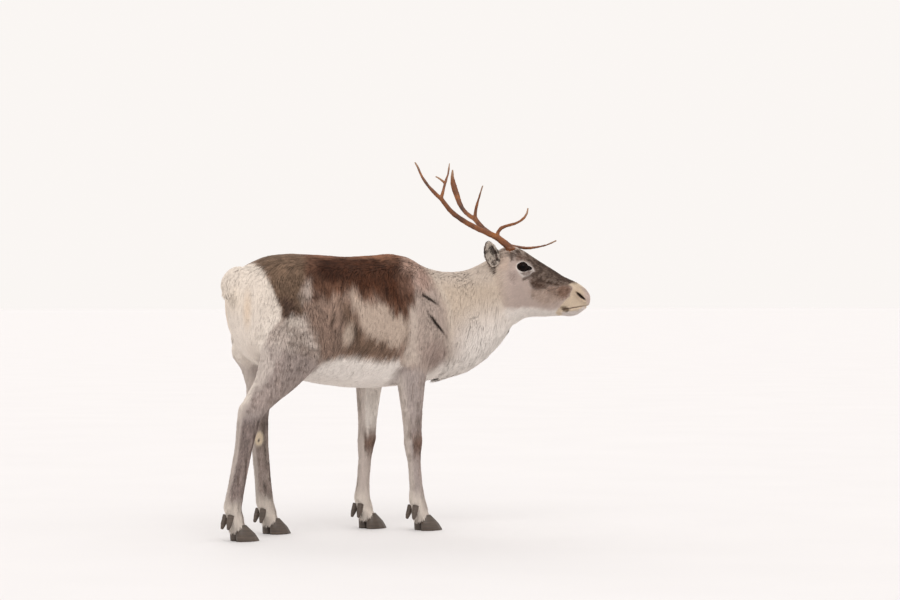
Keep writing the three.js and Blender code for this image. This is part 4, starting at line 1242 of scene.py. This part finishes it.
def eye_material(name):
    """Eye: a dark brown iris and a level pupil under a clear wet cornea."""
    material, tree, output = new_material(name)
    tint = add_node(tree, "ShaderNodeAttribute", {"attribute_name": COLOUR_LAYER})
    spots = add_node(tree, "ShaderNodeTexCoord")
    fibres = add_node(tree, "ShaderNodeTexNoise", {"Scale": 900.0, "Detail": 2.0},
                      {"Vector": (spots, "Object")})
    value = add_node(tree, "ShaderNodeMapRange", {"To Min": 0.7, "To Max": 1.3}, {"Value": (fibres, "Fac")})
    mixed = add_node(tree, "ShaderNodeVectorMath", {"operation": "SCALE"},
                     {"Vector": (tint, "Color"), "Scale": (value, "Result")})
    shader = add_node(
        tree, "ShaderNodeBsdfPrincipled",
        {"Roughness": 0.10, "IOR": 1.38, "Specular IOR Level": 0.08, "Coat Weight": 0.03,
         "Coat Roughness": 0.03},
        {"Base Color": (mixed, "Vector")},
    )
    tree.links.new(shader.outputs["BSDF"], output.inputs["Surface"])
    return material


def floor_material(name):
    """Studio floor: pale painted board, matt, with the faintest unevenness."""
    material, tree, output = new_material(name)
    spots = add_node(tree, "ShaderNodeTexCoord")
    clouds = add_node(tree, "ShaderNodeTexNoise", {"Scale": 1.5, "Detail": 2.0},
                      {"Vector": (spots, "Object")})
    colours = add_node(tree, "ShaderNodeValToRGB", {}, {"Fac": (clouds, "Fac")})
    for element, colour in zip(colours.color_ramp.elements, ("#dedcdc", "#e3e1e1")):
        element.color = (*to_linear(colour), 1)
    shader = add_node(tree, "ShaderNodeBsdfPrincipled", {"Roughness": 0.9},
                      {"Base Color": (colours, "Color")})
    tree.links.new(shader.outputs["BSDF"], output.inputs["Surface"])
    return material


def tint_points(mesh, colours):
    """Stores a colour for every point."""
    layer = mesh.attributes.new(COLOUR_LAYER, "FLOAT_COLOR", "POINT")
    rgba = np.concatenate([colours, np.ones((len(colours), 1))], axis=1)
    layer.data.foreach_set("color", rgba.astype(np.float32).ravel())


def finish_piece(item, material, nodes=()):
    """Gives a piece its material and its place in the frame."""
    item.data.materials.clear()
    item.data.materials.append(material)
    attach(item, "root")
    if nodes:
        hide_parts(*nodes)


def colour_property(name, description, colour):
    """A colour that a user may change."""
    return bpy.props.FloatVectorProperty(
        name=name, description=description, subtype="COLOR", default=to_linear(colour), min=0, max=1)


class ReindeerFinish(bpy.types.PropertyGroup):
    """The colours of antlers and hooves, and the camera's lens"""

    antler_dark: colour_property("Antler dark", "Darkest stain of the antlers", "#43230d")
    antler_brown: colour_property("Antler brown", "Main colour of the antlers", "#713e16")
    antler_light: colour_property("Antler light", "Lightest colour of the antlers' sides", "#9c5e27")
    antler_tip: colour_property("Antler tip", "Colour of the antlers' worn tips", "#a58468")
    hoof_dark: colour_property("Hoof dark", "Darkest rings of the hooves", "#261e19")
    hoof_light: colour_property("Hoof light", "Lightest rings of the hooves", "#65564a")
    lens: bpy.props.FloatProperty(
        name="Lens", description="Focal length of the camera", unit="CAMERA", default=111.8, min=1)


class REINDEER_OT_skin(bpy.types.Operator):
    """Makes the one skin that covers the flesh"""

    bl_idname = "reindeer.skin"
    bl_label = "Skin"

    def execute(self, context):
        item = make_skin("skin")
        points = places(item.data)
        tint_points(item.data, marking(points, normals_of(item.data), kinds_of(item, points)) * SKIN_TONE)
        finish_piece(item, hair_material("short_underfur", 0.5, 0.8, 700.0), [*FLESH, *EARS])
        bpy.ops.object.shade_smooth()
        return {"FINISHED"}


class REINDEER_OT_coat(bpy.types.Operator):
    """Grows the coat's solid tufts over the skin"""

    bl_idname = "reindeer.coat"
    bl_label = "Coat"

    def execute(self, context):
        skin = bpy.data.objects["skin"]
        points = places(skin.data)
        material = hair_material("winter_coat_hair", 0.2, 0.75, 300.0)
        for piece in make_coat(skin, kinds_of(skin, points)):
            finish_piece(piece, material)
        return {"FINISHED"}


class REINDEER_OT_eyes(bpy.types.Operator):
    """Makes both eyes"""

    bl_idname = "reindeer.eyes"
    bl_label = "Eyes"

    def execute(self, context):
        material = eye_material("wet_eye")
        for side, sign in zip(SIDES, (-1, 1)):
            centre = eye_middle(sign)
            bpy.ops.object.select_all(action="DESELECT")
            bpy.ops.mesh.primitive_uv_sphere_add(
                segments=48, ring_count=32, radius=EYE_RADIUS, location=centre)
            item = bpy.context.object
            item.name = f"eyeball_{side}"
            bpy.ops.object.transform_apply(location=True, rotation=True, scale=True)
            points = places(item.data)
            offset = points - np.array(centre)
            outward = offset @ np.array(HEAD_LEFT) * sign / EYE_RADIUS
            # the cornea bulges a little
            points += offset * (0.07 * rise(0.72, 1.0, outward))[:, None]
            put(item.data, points)
            ahead = np.abs(offset @ np.array(HEAD_FORWARD)) / MM
            above = np.abs(offset[:, 2]) / MM
            colours = np.tile(to_linear("#0c0707"), (len(points), 1))
            paint(colours, "#140b09", rise(0.4, 0.7, outward))
            paint(colours, "#060404", 1 - rise(0.9, 1.1, np.hypot(ahead / 9.5, above / 5)))
            tint_points(item.data, colours)
            bpy.ops.object.shade_smooth()
            finish_piece(item, material, [f"eye_{side}"])
        return {"FINISHED"}


class REINDEER_OT_antlers(bpy.types.Operator):
    """Makes both antlers, each one grown piece"""

    bl_idname = "reindeer.antlers"
    bl_label = "Antlers"

    def execute(self, context):
        material = antler_material("weathered_antler", context.scene.reindeer)
        for side in SIDES:
            nodes = [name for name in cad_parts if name.startswith(f"antler_{side}_")]
            item = merged_copy(f"grown_antler_{side}", nodes)
            modify(item, "REMESH", mode="VOXEL", voxel_size=HORN_GRAIN, use_smooth_shade=True)
            modify(item, "SMOOTH", factor=0.5, iterations=4)
            mesh = item.data
            points, normals = places(mesh), normals_of(mesh)
            knobs = mottle(points, 0.020, 9) * 0.0009
            ridges = mottle(points * np.array([1, 1, 0.4]), 0.006, 10) * 0.0004
            put(mesh, points + normals * (knobs + ridges + 0.0006)[:, None])
            tips = [branch_end(node) for node in nodes if node != f"antler_{side}_beam"]
            reach = np.min([np.linalg.norm(points - tip, axis=1) for tip in tips], axis=0)
            layer = mesh.attributes.new("tip", "FLOAT", "POINT")
            layer.data.foreach_set("value", (0.75 * (1 - rise(0.006, 0.045, reach))).astype(np.float32))
            finish_piece(item, material, nodes)
        return {"FINISHED"}


def branch_end(node):
    """The end of an antler branch that lies farthest from the poll."""
    points = places(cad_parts[node].data)
    return points[np.argmax(np.linalg.norm(points - np.array(head_point(30, 0, 960)), axis=1))]


def narrow_top(mesh):
    """Narrows a hoof's claw towards its top, where the coat meets it."""
    points = places(mesh)
    low, high = points[:, 2].min(), points[:, 2].max()
    up = (points[:, 2] - low) / (high - low)
    centre = points[up > 0.85].mean(axis=0) * [1, 1, 0]
    share = (0.28 * rise(0.2, 1.0, up) + 0.35 * rise(0.75, 1.1, up))[:, None]
    put(mesh, points + (centre - points * [1, 1, 0]) * share)


class REINDEER_OT_hooves(bpy.types.Operator):
    """Makes the hooves and dew claws of each leg"""

    bl_idname = "reindeer.hooves"
    bl_label = "Hooves"

    def execute(self, context):
        material = hoof_material("worn_horn", context.scene.reindeer)
        for leg in LEGS:
            nodes = [f"{leg}_{claw}_{side}" for claw in ("hoof", "dewclaw") for side in ("inner", "outer")]
            claws = [merged_copy(f"{leg}_hooves", [node]) for node in nodes]
            for claw, node in zip(claws, nodes):
                if "dewclaw" not in node:
                    narrow_top(claw.data)
            choose(*claws)
            bpy.ops.object.join()
            item = claws[0]
            item.name = f"{leg}_hooves"
            modify(item, "REMESH", mode="VOXEL", voxel_size=HORN_GRAIN, use_smooth_shade=True)
            modify(item, "SMOOTH", factor=0.5, iterations=14)
            mesh = item.data
            points = places(mesh)
            # the soles are flat on the floor
            points[:, 2] = np.where(points[:, 2] < 0.0035, 0.0, points[:, 2])
            put(mesh, points)
            finish_piece(item, material, nodes)
        return {"FINISHED"}


class REINDEER_OT_stage(bpy.types.Operator):
    """Sets up the floor, the soft lights and the camera"""

    bl_idname = "reindeer.stage"
    bl_label = "Stage"

    def execute(self, context):
        bpy.ops.object.select_all(action="DESELECT")
        bpy.ops.mesh.primitive_plane_add(size=FLOOR_SIZE, location=(0, 0, 0))
        floor = context.object
        floor.name = "studio_floor"
        floor.data.materials.append(floor_material("pale_floor"))
        world = bpy.data.worlds.new("studio_air")
        context.scene.world = world
        world.use_nodes = True
        air = world.node_tree.nodes["Background"].inputs
        air["Color"].default_value = (*to_linear("#f7f3f0"), 1)
        air["Strength"].default_value = 1.03
        for name, place, strength, softness in (
            ("key", (-2.5, -4.0, 5.0), 1.0, 50), ("rim", (2.0, 5.0, 5.0), 0.5, 40),
        ):
            light = bpy.data.lights.new(name, "SUN")
            light.energy, light.angle = strength, math.radians(softness)
            lamp = bpy.data.objects.new(name, light)
            context.scene.collection.objects.link(lamp)
            lamp.location = place
            lamp.rotation_euler = (Vector((0, 0, 0.6)) - Vector(place)).to_track_quat("-Z", "Y").to_euler()
        camera = bpy.data.objects.new("camera", bpy.data.cameras.new("camera"))
        context.scene.collection.objects.link(camera)
        camera.location = (RUMP - CAMERA_BACK, MIDLINE - CAMERA_OUT, CAMERA_HEIGHT)
        camera.rotation_euler = (math.radians(90), 0, -VIEW)
        camera.data.lens = context.scene.reindeer.lens
        context.scene.camera = camera
        context.scene.view_settings.view_transform = "Standard"
        return {"FINISHED"}


STEPS = (
    REINDEER_OT_stage, REINDEER_OT_skin, REINDEER_OT_coat, REINDEER_OT_eyes, REINDEER_OT_antlers,
    REINDEER_OT_hooves,
)


class REINDEER_PT_steps(bpy.types.Panel):
    """Lists the steps that build the reindeer"""

    bl_label = "Reindeer"
    bl_space_type = "VIEW_3D"
    bl_region_type = "UI"
    bl_category = "Reindeer"

    def draw(self, context):
        for step in STEPS:
            self.layout.operator(step.bl_idname)


def register():
    for item in (ReindeerFinish, *STEPS, REINDEER_PT_steps):
        bpy.utils.register_class(item)
    bpy.types.Scene.reindeer = bpy.props.PointerProperty(type=ReindeerFinish)


def unregister():
    del bpy.types.Scene.reindeer
    for item in (REINDEER_PT_steps, *reversed(STEPS), ReindeerFinish):
        bpy.utils.unregister_class(item)


def main():
    register()
    for step in STEPS:
        group, name = step.bl_idname.split(".")
        getattr(getattr(bpy.ops, group), name)()
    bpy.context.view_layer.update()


if __name__ == "__main__":
    main()
